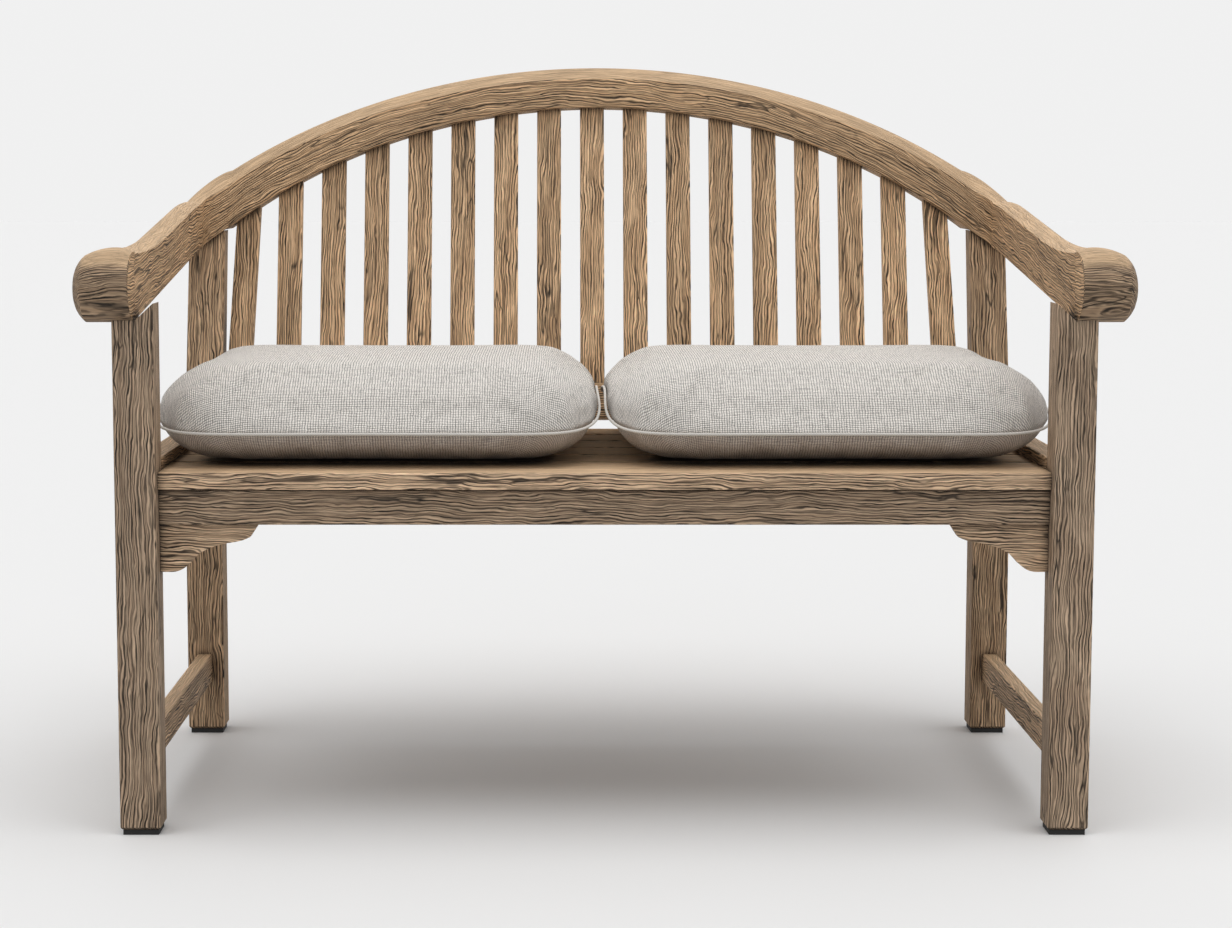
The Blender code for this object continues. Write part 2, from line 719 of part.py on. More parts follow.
def make_posts(origin, back, arms, arm_rooms, path):
    """Rear posts, upright to the kink, then leaning back and tapering up to the arms."""
    middle_of_turn = path[2 + TURN_STEPS // 2][0]
    shoulder = (middle_of_turn.z - KINK_HEIGHT) / math.cos(LEAN)
    posts = []
    rooms = []
    for (side, name), arm, arm_room in zip(MIRRORED, arms, arm_rooms):
        spot = (side * POST_CENTRE, 0, 0)
        outline = post_outline(0, shoulder + POST_RISE)
        post = panel("rear_post_" + name, outline, POST_WIDTH, origin, spot, FACING_SIDE)
        chamfer_foot(post)
        ease_along(post, OUTLINE_UP, EASE)
        wood(post)
        combine(post, arm_room, "DIFFERENCE")
        low, high = corners(
            side,
            about(POST_CENTRE, POST_TENON_WIDTH),
            about(BACK_CENTRE, POST_TENON_DEPTH),
            (shoulder - POST_RISE, shoulder + POST_TENON_LENGTH),
        )
        tenon(post, arm, low, high, back)
        depths = (POST_SETBACK, POST_SETBACK + POST_DEPTH)
        make_pad("rear_" + name, side * POST_CENTRE, depths, POST_WIDTH, origin, post)
        posts.append(post)
        rooms.append(panel(
            "post_room_" + name, post_outline(GAP, shoulder), POST_WIDTH + 2 * GAP,
            origin, spot, FACING_SIDE, helper=True,
        ))
    return posts, rooms


def make_side_rails(origin, legs, posts, post_rooms):
    """Side rails of the seat, their rear ends cut to the lean of the posts."""
    for (side, name), leg, post, room in zip(MIRRORED, legs, posts, post_rooms):
        low, high = corners(
            side,
            (LEG_INNER, LEG_INNER + SIDE_RAIL_THICKNESS),
            (LEG_DEPTH + GAP, POST_SETBACK + LIP_LEAN),
            (RAIL_BOTTOM, SIDE_RAIL_TOP),
        )
        rail = bar("side_rail_" + name, low, high, origin, 1)
        combine(rail, room, "DIFFERENCE")
        width = about(LEG_INNER + SIDE_RAIL_THICKNESS / 2, SIDE_TENON_THICKNESS)
        top = SIDE_RAIL_TOP - TENON_SHOULDER
        height = (top - SIDE_TENON_HEIGHT, top)
        front = (LEG_DEPTH - SIDE_TENON_LENGTH, LEG_DEPTH + OVERRUN)
        rear = (POST_SETBACK - OVERRUN, POST_SETBACK + LIP_LEAN + SIDE_TENON_LENGTH)
        tenon(rail, leg, *corners(side, width, front, height), origin)
        tenon(rail, post, *corners(side, width, rear, height), origin)


def make_stretchers(origin, legs, posts):
    for (side, name), leg, post in zip(MIRRORED, legs, posts):
        width = about(LEG_CENTRE, STRETCHER_WIDTH)
        height = (STRETCHER_LIFT, STRETCHER_LIFT + STRETCHER_HEIGHT)
        depth = (LEG_DEPTH + GAP, POST_SETBACK - GAP)
        stretcher = bar("stretcher_" + name, *corners(side, width, depth, height), origin, 1)
        thin = about(LEG_CENTRE, TENON_THICKNESS)
        tall = about(STRETCHER_LIFT + STRETCHER_HEIGHT / 2, STRETCHER_TENON_HEIGHT)
        front = (LEG_DEPTH - TENON_LENGTH, LEG_DEPTH + OVERRUN)
        rear = (POST_SETBACK - OVERRUN, POST_SETBACK + TENON_LENGTH)
        tenon(stretcher, leg, *corners(side, thin, front, tall), origin)
        tenon(stretcher, post, *corners(side, thin, rear, tall), origin)


def make_cross_rail(name, half, setback, origin, uprights):
    """The front apron or the rear seat rail, tenoned low into its legs or posts."""
    low = (-half + GAP, setback, RAIL_BOTTOM)
    high = (half - GAP, setback + APRON_THICKNESS, BEARING)
    rail = bar(name, low, high, origin, 0)
    thin = about(setback + APRON_THICKNESS / 2, TENON_THICKNESS)
    bottom = RAIL_BOTTOM + TENON_SHOULDER
    height = (bottom, bottom + SEAT_TENON_HEIGHT)
    length = (half - OVERRUN, half + TENON_LENGTH)
    for (side, _), upright in zip(MIRRORED, uprights):
        tenon(rail, upright, *corners(side, length, thin, height), origin)
    return rail


def make_bearer(origin, apron, rear_rail):
    """The bearer under the middle of the boards, stubbed into apron and rear rail."""
    front = APRON_SETBACK + APRON_THICKNESS
    rear = POST_SETBACK + REAR_RAIL_SETBACK
    bottom = BEARING - BEARER_HEIGHT
    low, high = corners(1, about(0, BEARER_WIDTH), (front + GAP, rear - GAP), (bottom, BEARING))
    bearer = bar("centre_bearer", low, high, origin, 1)
    thin = about(0, TENON_THICKNESS)
    height = (bottom + TENON_SHOULDER, bottom + TENON_SHOULDER + SEAT_TENON_HEIGHT)
    stubs = (
        (apron, (front - STUB_TENON_LENGTH, front + OVERRUN)),
        (rear_rail, (rear - OVERRUN, rear + STUB_TENON_LENGTH)),
    )
    for rail, depth in stubs:
        tenon(bearer, rail, *corners(1, thin, depth, height), origin)


def make_boards(origin):
    """Front board and slats of the seat."""
    half = LEG_INNER - GAP
    bottom = SEAT_HEIGHT - BOARD_THICKNESS
    rear = FRONT_BOARD_SETBACK + FRONT_BOARD_DEPTH
    slat_pitch = (POST_SETBACK - SEAT_REAR_SPACE - rear) / SEAT_SLAT_COUNT
    low = (-half, FRONT_BOARD_SETBACK, bottom)
    bar("seat_front_board", low, (half, rear, SEAT_HEIGHT), origin, 0)
    for number in range(SEAT_SLAT_COUNT):
        start = rear + SEAT_SLAT_SPACE
        rear += slat_pitch
        name = "seat_slat_" + str(number + 1)
        bar(name, (-half, start, bottom), (half, rear, SEAT_HEIGHT), origin, 0)


def make_cleats(origin):
    """Cleats on the inner faces of the side rails, under the ends of the boards."""
    front = APRON_SETBACK + APRON_THICKNESS + GAP
    for side, name in MIRRORED:
        low, high = corners(
            side,
            (LEG_INNER - CLEAT_THICKNESS, LEG_INNER - GAP),
            (front, POST_SETBACK - GAP),
            (BEARING - CLEAT_HEIGHT, BEARING),
        )
        bar("seat_cleat_" + name, low, high, origin, 1)


def make_brackets(origin, apron):
    """Shaped corner brackets under the apron, each held by two dowels."""
    middle = APRON_SETBACK + BRACKET_SETBACK + BRACKET_THICKNESS / 2
    top = RAIL_BOTTOM - GAP
    start = LEG_INNER - GAP
    for side, name in MIRRORED:
        outline = [
            (side * (start - along * BRACKET_LENGTH), top - down * BRACKET_DROP, handle)
            for along, down, handle in BRACKET_OUTLINE_SHARES
        ]
        label = "corner_bracket_" + name
        spot = (0, middle, 0)
        bracket = panel(label, outline, BRACKET_THICKNESS, origin, spot, FACING_FRONT)
        wood(bracket)
        for end, share in BRACKET_DOWEL_SHARES:
            x = side * (start - share * BRACKET_LENGTH)
            dowel(
                "bracket_dowel_" + name + end, Matrix.Translation((x, middle, RAIL_BOTTOM)),
                BRACKET_DOWEL_RADIUS, BRACKET_DOWEL_LENGTH, origin, (bracket, apron),
            )


def slat_outline(number, grow):
    """Corners of a back slat across the bench and up the back, its top cut to the arch."""
    top = SLAT_PITCH * number
    foot = top
    if abs(number) == SLAT_COUNT // 2:
        top = math.copysign(END_SLAT_TOP, number)
        foot = math.copysign(END_SLAT_FOOT, number)
    top -= SLAT_SHIFT
    foot -= SLAT_SHIFT
    half = SLAT_WIDTH / 2 + grow
    bottom = LOWER_RAIL_LIFT + LOWER_RAIL_HEIGHT - SLAT_SEAT - grow
    left_top = arch_height(top - half) + SLAT_SEAT + grow
    right_top = arch_height(top + half) + SLAT_SEAT + grow
    return [
        (foot - half, bottom), (foot + half, bottom),
        (top + half, right_top), (top - half, left_top),
    ]


def make_lower_rail(back, posts):
    """Lower back rail, tenoned into the posts."""
    half = POST_INNER - GAP
    thick = about(BACK_CENTRE, LOWER_RAIL_THICKNESS)
    top = LOWER_RAIL_LIFT + LOWER_RAIL_HEIGHT
    low, high = corners(1, (-half, half), thick, (LOWER_RAIL_LIFT, top))
    rail = bar("lower_back_rail", low, high, back, 0)
    height = about(LOWER_RAIL_LIFT + LOWER_RAIL_HEIGHT / 2, LOWER_TENON_HEIGHT)
    length = (POST_INNER - OVERRUN, POST_INNER + TENON_LENGTH)
    thin = about(BACK_CENTRE, TENON_THICKNESS)
    for (side, _), post in zip(MIRRORED, posts):
        tenon(rail, post, *corners(side, length, thin, height), back)
    return rail


def make_slats(back, top_rail, lower_rail):
    """Back slats, housed in the top rail and in the lower back rail."""
    last = SLAT_COUNT // 2
    spot = (0, BACK_CENTRE, 0)
    rooms = bmesh.new()
    for index, number in enumerate(range(-last, last + 1)):
        name = "back_slat_{:02d}".format(index + 1)
        outline = slat_outline(number, 0)
        slat = panel(name, outline, SLAT_THICKNESS, back, spot, FACING_FRONT)
        ease_along(slat, OUTLINE_UP, SLAT_EASE)
        wood(slat, SLAT_TONE_SHARES[index % len(SLAT_TONE_SHARES)])
        room = panel(
            name + "_room", slat_outline(number, GAP), SLAT_THICKNESS + 2 * GAP,
            back, spot, FACING_FRONT, helper=True,
        )
        rooms.from_mesh(room.data)
        bpy.data.objects.remove(room)
    cutter = place("slat_mortises", mesh_of("slat_mortises", rooms), back, helper=True)
    cutter.location = spot
    cutter.rotation_euler = FACING_FRONT
    combine(top_rail, cutter, "DIFFERENCE")
    combine(lower_rail, cutter, "DIFFERENCE")


def cushion_ring(middle, halves, inset):
    """Plan outline of a cushion at its seam, its sides drawn in between the corners."""
    power = CUSHION_SQUARENESS
    ring = []
    for i in range(CUSHION_RING_POINTS):
        angle = math.tau * (i + 1 / 2) / CUSHION_RING_POINTS
        along = abs(math.cos(angle)) / (halves[0] - inset)
        deep = abs(math.sin(angle)) / (halves[1] - inset)
        reach = (along ** power + deep ** power) ** (-1 / power)
        reach -= CUSHION_SIDE_PULL * math.cos(2 * angle) ** 2
        across = reach * math.cos(angle)
        back = reach * math.sin(angle)
        side = max(abs(across) / halves[0] - CUSHION_LEVEL_SHARE, 0) / (1 - CUSHION_LEVEL_SHARE)
        lift = CUSHION_SEAM_RISE * side ** 2 * math.cos(back / halves[1] * math.pi / 2)
        seam = SEAT_HEIGHT + CUSHION_SEAM + lift
        ring.append(Vector((middle[0] + across, middle[1] + back, seam)))
    return ring


def bulge(share, fullness):
    """Rise of a rounded edge at a share of its width, from 0 to 1."""
    return (1 - (1 - share) ** fullness) ** (1 / fullness)


def cushion_level(middle, halves, inset, target, share, fullness):
    """A ring of the cushion, on the rounded way from its seam to a height."""
    ring = cushion_ring(middle, halves, inset)
    for point, at_seam in zip(ring, cushion_ring(middle, halves, 0)):
        risen = (at_seam.z - SEAT_HEIGHT - CUSHION_SEAM) / CUSHION_SEAM_RISE
        moved = bulge(share, fullness - CUSHION_SIDE_FLATNESS * risen)
        point.z = at_seam.z + (target - at_seam.z) * moved
    return ring


def make_cushion(name, middle, halves, origin):
    """A cushion with a flat base, a seam that rises at its sides, rounded edges and a crown."""
    seam_inset = 2 * PIPING_RADIUS + GAP
    base = SEAT_HEIGHT + GAP
    top = SEAT_HEIGHT + CUSHION_CROWN
    rings = []
    for share in reversed((0, *CUSHION_BASE_SHARES)):
        inset = seam_inset + CUSHION_BASE_ROLL * share
        rings.append(cushion_level(middle, halves, inset, base, share, CUSHION_BASE_FULLNESS))
    for share in CUSHION_TOP_SHARES:
        inset = seam_inset + CUSHION_TOP_ROLL * share
        rings.append(cushion_level(middle, halves, inset, top, share, CUSHION_TOP_FULLNESS))
    rolled = seam_inset + CUSHION_TOP_ROLL
    inset = rolled + (min(halves) - rolled) * CUSHION_MIDDLE_SHARE
    crown = top + CUSHION_CENTRE_RISE
    rings.append(cushion_level(middle, halves, inset, crown, 1, CUSHION_TOP_FULLNESS))
    cushion = loft(name, rings, origin)
    finish(cushion, FABRIC_COLOUR, FABRIC_ROUGHNESS)
    soften(cushion, 60)


def make_piping(name, middle, halves, origin):
    """The piping, a closed cord around the seam of a cushion."""
    curve = bpy.data.curves.new(name, "CURVE")
    curve.dimensions = "3D"
    curve.bevel_depth = PIPING_RADIUS
    curve.bevel_resolution = 1
    at_seam = cushion_ring(middle, halves, 0)
    route = cushion_ring(middle, halves, PIPING_RADIUS)
    for point, level in zip(route, at_seam):
        point.z = level.z
    spline = curve.splines.new("POLY")
    spline.points.add(len(route) - 1)
    for point, spot in zip(spline.points, route):
        point.co = (*spot, 1)
    spline.use_cyclic_u = True
    piping = place(name, converted(name, curve), origin)
    finish(piping, PIPING_COLOUR, FABRIC_ROUGHNESS)
    soften(piping, 70)


def make_cushions(origin):
    """Two cushions side by side between the arms, over the side rails and up to the back."""
    half = ARM_INNER / 2
    back = POST_SETBACK + CUSHION_REACH
    halves = (half - CUSHION_CLEARANCE, (back - CUSHION_FRONT) / 2)
    for side, name in MIRRORED:
        middle = (side * half, (CUSHION_FRONT + back) / 2)
        make_cushion("cushion_" + name, middle, halves, origin)
        make_piping("piping_" + name, middle, halves, origin)


def main():
    clear_scene()
    crown_front = back_point(0, ARCH_TOP + RAIL_HEIGHT - RAIL_CROWN, -RAIL_LEAD).y
    crown_rear = crown_front + RAIL_THICKNESS
    origin = place("bench_origin", None, None)
    origin.location.y = (SCROLL_LEAD - crown_rear) / 2
    back = place("leaning_back", None, origin)
    back.location = (0, POST_SETBACK, KINK_HEIGHT)
    back.rotation_euler.x = -LEAN

    path = arm_path()
    top_rail = make_top_rail(origin)
    arms, arm_rooms = make_arms(origin, path)
    make_arm_dowels(back, top_rail, arms)
    legs = make_legs(origin, arms, arm_rooms)
    posts, post_rooms = make_posts(origin, back, arms, arm_rooms, path)
    make_side_rails(origin, legs, posts, post_rooms)
    make_stretchers(origin, legs, posts)
    apron = make_cross_rail("front_apron", LEG_INNER, APRON_SETBACK, origin, legs)
    rear_setback = POST_SETBACK + REAR_RAIL_SETBACK
    rear_rail = make_cross_rail("rear_seat_rail", POST_INNER, rear_setback, origin, posts)
    make_bearer(origin, apron, rear_rail)
    make_cleats(origin)
    make_boards(origin)
    make_brackets(origin, apron)
    lower_rail = make_lower_rail(back, posts)
    make_slats(back, top_rail, lower_rail)
    make_cushions(origin)


main()
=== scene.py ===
# Wooden garden bench with an arched, slatted back, scrolled arms and two piped cushions.
# The front faces -Y and left is -X. Lengths are in metres.

import math

import bmesh
import bpy
from mathutils import Euler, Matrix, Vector
from mathutils.kdtree import KDTree


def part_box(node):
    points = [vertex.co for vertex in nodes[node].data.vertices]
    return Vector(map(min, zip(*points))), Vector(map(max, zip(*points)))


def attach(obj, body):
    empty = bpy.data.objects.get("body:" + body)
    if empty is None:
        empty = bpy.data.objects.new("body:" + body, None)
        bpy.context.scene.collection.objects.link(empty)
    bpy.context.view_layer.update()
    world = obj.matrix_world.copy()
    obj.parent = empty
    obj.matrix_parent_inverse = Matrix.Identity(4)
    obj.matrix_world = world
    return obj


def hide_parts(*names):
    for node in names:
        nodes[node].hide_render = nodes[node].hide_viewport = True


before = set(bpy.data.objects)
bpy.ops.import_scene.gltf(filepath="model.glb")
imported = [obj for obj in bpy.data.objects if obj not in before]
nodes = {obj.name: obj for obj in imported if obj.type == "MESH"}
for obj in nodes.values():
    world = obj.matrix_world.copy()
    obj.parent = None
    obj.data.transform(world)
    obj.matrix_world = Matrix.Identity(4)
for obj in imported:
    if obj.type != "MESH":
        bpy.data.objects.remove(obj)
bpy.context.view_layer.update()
print("loaded", len(nodes), "nodes")

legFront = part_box("front_leg_right")[0][1]
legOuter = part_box("front_leg_right")[1][0]
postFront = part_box("rear_post_right")[0][1]
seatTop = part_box("seat_front_board")[1][2]
backLean = math.radians(11.9)


# Shader nodes

white = (1.0, 1.0, 1.0, 1.0)


def addNode(tree, kind, inputs, **settings):
    made = tree.nodes.new(kind)
    for setting, value in settings.items():
        setattr(made, setting, value)
    for socket, value in inputs.items():
        if isinstance(value, bpy.types.NodeSocket):
            tree.links.new(value, made.inputs[socket])
        else:
            made.inputs[socket].default_value = value
    return made


def calculated(tree, operation, *values):
    inputs = dict(enumerate(values))
    return addNode(tree, "ShaderNodeMath", inputs, operation=operation).outputs[0]


def calculatedVector(tree, operation, *values):
    inputs = dict(enumerate(values))
    return addNode(tree, "ShaderNodeVectorMath", inputs, operation=operation).outputs[0]


def mapping(tree, source, **changes):
    return addNode(tree, "ShaderNodeMapping", {0: source, **changes}).outputs[0]


def noise(tree, place, detail, roughness):
    return addNode(tree, "ShaderNodeTexNoise", {
        "Vector": place, "Scale": 1.0, "Detail": detail, "Roughness": roughness,
    }).outputs


def ramp(tree, source, stops):
    made = addNode(tree, "ShaderNodeValToRGB", {0: source})
    points = made.color_ramp.elements
    while len(points) < len(stops):
        points.new(1.0)
    for point, (place, colour) in zip(points, stops):
        shade = colour if hasattr(colour, "__len__") else (colour,) * 3
        point.position = place
        point.color = (*shade, 1.0)
    return made.outputs[0]


def mixColours(tree, way, share, first, second):
    inputs = {0: share, 6: first, 7: second}
    return addNode(tree, "ShaderNodeMix", inputs, data_type="RGBA", blend_type=way).outputs[2]


def upwardness(tree):
    # 1 where the surface faces up, -1 where it faces down
    facing = addNode(tree, "ShaderNodeTexCoord", {}).outputs["Normal"]
    return addNode(tree, "ShaderNodeSeparateXYZ", {0: facing}).outputs[2]


def creviced(tree, colour, creviceShade):
    # painted shade: darker in narrow places and beside other pieces, where shade falls
    inputs = {"Distance": creviceShade["reach"]}
    openness = addNode(tree, "ShaderNodeAmbientOcclusion", inputs, samples=creviceShade["samples"])
    shade = ramp(tree, openness.outputs["AO"], creviceShade["stops"])
    return mixColours(tree, "MULTIPLY", 1.0, colour, shade)


def addBump(tree, shader, height, strength, depth):
    inputs = {"Strength": strength, "Distance": depth, "Height": height}
    bump = addNode(tree, "ShaderNodeBump", inputs)
    tree.links.new(bump.outputs[0], shader.inputs["Normal"])


def newMaterial(name):
    material = bpy.data.materials.new(name)
    material.use_nodes = True
    return material, material.node_tree, material.node_tree.nodes["Principled BSDF"]


def paint(piece, material):
    piece.data.materials.clear()
    piece.data.materials.append(material)


# Timber

timber = {
    "pale": (0.90, 0.602, 0.350),      # early wood
    "warm": (0.67, 0.424, 0.234),      # late wood
    "paintedTopLight": (0.78, 0.540, 0.325),      # colour of the upward faces, painted paler as painted light from above
    "paintedTopLightLeast": 0.9,                  # tone of these painted-light upward faces, at the least
    "paintedTopLightFrom": (0.50, 0.66),          # upwardness at which the painted top light starts and is full
    "roughness": 0.6,
    "specular": 0.3,
    "wander": 0.008,                   # of the fibres, over about 120 mm
    "ripple": 0.0022,                  # of the fibres, over about 25 mm
    "jitter": 0.0019,                  # of the spacing of the brushed furrows
    "ringScale": 27.0,
    "heart": (0, 0.034, 0.027),        # middle of the rings, beside the piece
    "heartTilt": (0, math.radians(2.2), math.radians(3.1)),
    "fibre": (9.0, 420.0),             # noise along and across the grain
    "cloud": (3.0, 24.0),
    "cracks": (4.5, 75.0),
    "crackShade": 0.16,
    "furrowPitch": 0.0041,
    "furrowShade": 0.06,
    "furrowGaps": (15.0, 90.0),
    "finePitch": 0.0025,
    "fineShade": 0.40,
    "fineGaps": (24.0, 130.0),
    "bump": 1.0,
    "bumpDepth": 0.0009,
    # painted shade in joints and narrow places
    "creviceShade": {"reach": 0.012, "samples": 4, "stops": ((0.42, 0.14), (0.86, 1.0))},
    "leanFrom": seatTop - 0.026,       # height of the kink in the posts
}
alongGrain = {                         # turns that lay the grain on the pattern's X
    "x": (0, 0, 0),
    "y": (0, 0, -math.pi / 2),
    "z": (0, math.pi / 2, 0),
    "lean": (0, math.pi / 2, 0),
    "uv": (0, 0, 0),
}


def grainPlace(tree, direction, seed):
    # coordinates with the grain along X
    if direction == "uv":
        source = addNode(tree, "ShaderNodeUVMap", {}, uv_map="grain").outputs[0]
    else:
        source = addNode(tree, "ShaderNodeTexCoord", {}).outputs["Object"]
    if direction == "lean":            # it leans back with the posts, above their kink
        parts = addNode(tree, "ShaderNodeSeparateXYZ", {0: source}).outputs
        above = calculated(tree, "SUBTRACT", parts[2], timber["leanFrom"])
        above = calculated(tree, "MAXIMUM", above, 0.0)
        back = calculated(tree, "MULTIPLY_ADD", above, -math.tan(backLean), parts[1])
        upright = {0: parts[0], 1: back, 2: parts[2]}
        source = addNode(tree, "ShaderNodeCombineXYZ", upright).outputs[0]
    shifted = (0.37 * seed % 3, 0.113 * seed % 0.9, 0.071 * seed % 0.7)
    return mapping(tree, source, Location=shifted, Rotation=alongGrain[direction])


def pushed(tree, place, scale, amount):
    # moved across the grain by slow noise, up to the amount to either side
    drift = noise(tree, mapping(tree, place, Scale=scale), 2.0, 0.5)["Color"]
    centred = calculatedVector(tree, "SUBTRACT", drift, (0.5, 0.5, 0.5))
    push = calculatedVector(tree, "MULTIPLY", centred, (0, amount * 2, amount * 2))
    return calculatedVector(tree, "ADD", place, push)


def stretchedNoise(tree, place, along, across, detail, roughness):
    scaled = mapping(tree, place, Scale=(along, across, across))
    return noise(tree, scaled, detail, roughness)["Fac"]


def cracks(tree, place, along, across, depth):
    # long thin lines where the noise passes its middle value
    offset = stretchedNoise(tree, place, along, across, 1.0, 0.5)
    offset = calculated(tree, "ABSOLUTE", calculated(tree, "SUBTRACT", offset, 0.5))
    shade = ramp(tree, offset, ((0.0, depth), (0.006, depth + 0.10), (0.020, 1.0)))
    gaps = stretchedNoise(tree, place, along * 1.6, across * 0.5, 2.0, 0.5)
    broken = ramp(tree, gaps, ((0.46, 0.0), (0.56, 1.0)))
    return mixColours(tree, "MIX", broken, white, shade)


def furrows(tree, place, jittered, pitch, depth, masked):
    # brushed furrows side by side: dark grain lines, each with a painted highlight on the pale lip
    # beside it
    drawn = mapping(tree, jittered, Scale=(0.02, 1.0, 1.0))
    wave = addNode(tree, "ShaderNodeTexWave", {
        "Vector": drawn, "Scale": math.tau / (10 * pitch), "Distortion": 0.0,
    }, wave_type="BANDS", bands_direction="DIAGONAL", wave_profile="SIN").outputs["Fac"]
    # tones above 1 are the painted highlight of the lit ridges
    shade = ramp(tree, wave, ((0.0, depth), (0.10, depth + 0.08), (0.36, 1.02), (0.9, 1.16)))
    gaps = stretchedNoise(tree, place, *masked, 2.0, 0.55)
    broken = ramp(tree, gaps, ((0.33, 0.25), (0.58, 1.0)))
    return mixColours(tree, "MIX", broken, white, shade)


def woodMaterial(name, direction, seed, tone, grey, paintedTopLight):
    material, tree, shader = newMaterial(name)
    laid = grainPlace(tree, direction, seed)
    wandered = pushed(tree, laid, (8.0, 20.0, 20.0), timber["wander"])
    rippled = pushed(tree, wandered, (30.0, 50.0, 50.0), timber["ripple"])
    jittered = pushed(tree, rippled, (16.0, 140.0, 140.0), timber["jitter"])

    tilted = mapping(tree, wandered, Location=timber["heart"], Rotation=timber["heartTilt"])
    rings = addNode(tree, "ShaderNodeTexWave", {
        "Vector": tilted, "Scale": timber["ringScale"], "Distortion": 2.2, "Detail": 2.0,
        "Detail Scale": 1.4, "Detail Roughness": 0.6,
    }, wave_type="RINGS", rings_direction="X", wave_profile="SAW").outputs["Fac"]

    def toned(colour):
        level = sum(colour) / 3
        return [tone * (channel + (level - channel) * grey) for channel in colour]

    pale, warm = toned(timber["pale"]), toned(timber["warm"])
    base = ramp(tree, rings, ((0.0, pale), (0.72, warm), (1.0, pale)))
    fibres = stretchedNoise(tree, rippled, *timber["fibre"], 3.0, 0.6)
    streaks = ramp(tree, fibres, ((0.34, 0.66), (0.49, 0.98), (0.62, 1.12)))
    base = mixColours(tree, "MULTIPLY", 0.9, base, streaks)
    clouds = stretchedNoise(tree, rippled, *timber["cloud"], 2.0, 0.5)
    patches = ramp(tree, clouds, ((0.32, 0.80), (0.68, 1.14)))
    base = mixColours(tree, "MULTIPLY", 0.8, base, patches)

    coarse = furrows(tree, rippled, jittered, timber["furrowPitch"], timber["furrowShade"],
                     timber["furrowGaps"])
    fine = furrows(tree, rippled, jittered, timber["finePitch"], timber["fineShade"],
                   timber["fineGaps"])
    crack = cracks(tree, rippled, *timber["cracks"], timber["crackShade"])
    # the grain lines darken the colour and their painted highlights lighten it; the same pattern
    # makes the bump
    relief = mixColours(tree, "MULTIPLY", 1.0, coarse, fine)
    relief = mixColours(tree, "MULTIPLY", 1.0, relief, crack)
    base = mixColours(tree, "MULTIPLY", 1.0, base, relief)
    # painted light: upward faces paler and warmer, with fewer grain marks, as if lit from above
    if paintedTopLight:
        level = max(tone, timber["paintedTopLightLeast"])
        litTopColour = [level * channel for channel in timber["paintedTopLight"]]
        litTopColour = mixColours(tree, "MULTIPLY", 0.9, (*litTopColour, 1.0), streaks)
        starts, full = timber["paintedTopLightFrom"]
        topLightShare = ramp(tree, upwardness(tree), ((starts, 0.0), (full, paintedTopLight)))
        base = mixColours(tree, "MIX", topLightShare, base, litTopColour)
    # painted shade where pieces meet and in narrow places
    base = creviced(tree, base, timber["creviceShade"])
    tree.links.new(base, shader.inputs["Base Color"])
    ridges = mixColours(tree, "MULTIPLY", 0.4, relief, streaks)
    addBump(tree, shader, ridges, timber["bump"], timber["bumpDepth"])
    shader.inputs["Roughness"].default_value = timber["roughness"]
    shader.inputs["Specular IOR Level"].default_value = timber["specular"]
    return material


grainOf = {                            # grain, tone, greyness and painted top light of each kind of piece
    "front_leg": ("z", 0.79, 0.26, 0),
    "rear_post": ("lean", 0.85, 0.10, 0),
    "front_apron": ("x", 0.77, 0.22, 0),
    "rear_seat_rail": ("x", 0.80, 0.1, 0),
    "side_rail": ("y", 0.85, 0.1, 0.6),
    "seat_cleat": ("y", 0.85, 0.1, 0),
    "centre_bearer": ("y", 0.85, 0.1, 0),
    "seat_front_board": ("x", 1.08, 0.18, 0.7),
    "seat_slat": ("x", 0.98, 0.12, 0.6),
    "stretcher": ("y", 0.95, 0.1, 0.6),
    "corner_bracket": ("x", 1.0, 0.18, 0),
    "bracket_dowel": ("z", 0.8, 0.1, 0),
    "lower_back_rail": ("x", 0.9, 0.0, 0.4),
    "back_slat": ("lean", 1.10, 0.04, 0),
    "arm_dowel": ("x", 0.8, 0.0, 0),
}
slatTones = (
    0.90, 1.06, 0.98, 0.94, 1.02, 0.96, 1.00, 0.90, 1.08,
    1.10, 0.88, 0.96, 0.94, 1.02, 1.06, 1.02, 1.12,
)
for seed, (name, node) in enumerate(sorted(nodes.items())):
    kind = next((kind for kind in grainOf if name.startswith(kind)), None)
    if kind:
        direction, tone, grey, paintedTopLight = grainOf[kind]
        if kind == "back_slat":
            tone *= slatTones[int(name[-2:]) - 1]
        paint(node, woodMaterial("timber_" + name, direction, seed, tone, grey, paintedTopLight))
print("timber done")


# Foot pads

footPad = {"grit": 900.0, "dark": 0.012, "pale": 0.03, "roughness": 0.7}

rubber, tree, shader = newMaterial("rubber")
grit = addNode(tree, "ShaderNodeTexNoise", {"Scale": footPad["grit"], "Detail": 2.0})
blacks = ramp(tree, grit.outputs["Fac"], ((0.3, footPad["dark"]), (0.7, footPad["pale"])))
tree.links.new(blacks, shader.inputs["Base Color"])
shader.inputs["Roughness"].default_value = footPad["roughness"]
for name, node in nodes.items():
    if name.startswith("foot_pad"):
        paint(node, rubber)
print("foot pads done")


# Making pieces

def grownRing(form, ring, points):
    # the ring's edges drawn out to a new ring, which lies on the given points
    edges = [edge for edge in form.edges if edge.verts[0] in ring and edge.verts[1] in ring]
    made = bmesh.ops.extrude_edge_only(form, edges=edges)["geom"]
    fresh = {item for item in made if isinstance(item, bmesh.types.BMVert)}
    following = []
    for vertex, point in zip(ring, points):
        beside = (edge.other_vert(vertex) for edge in vertex.link_edges)
        partner = next(other for other in beside if other in fresh)
        partner.co = point
        following.append(partner)
    return following


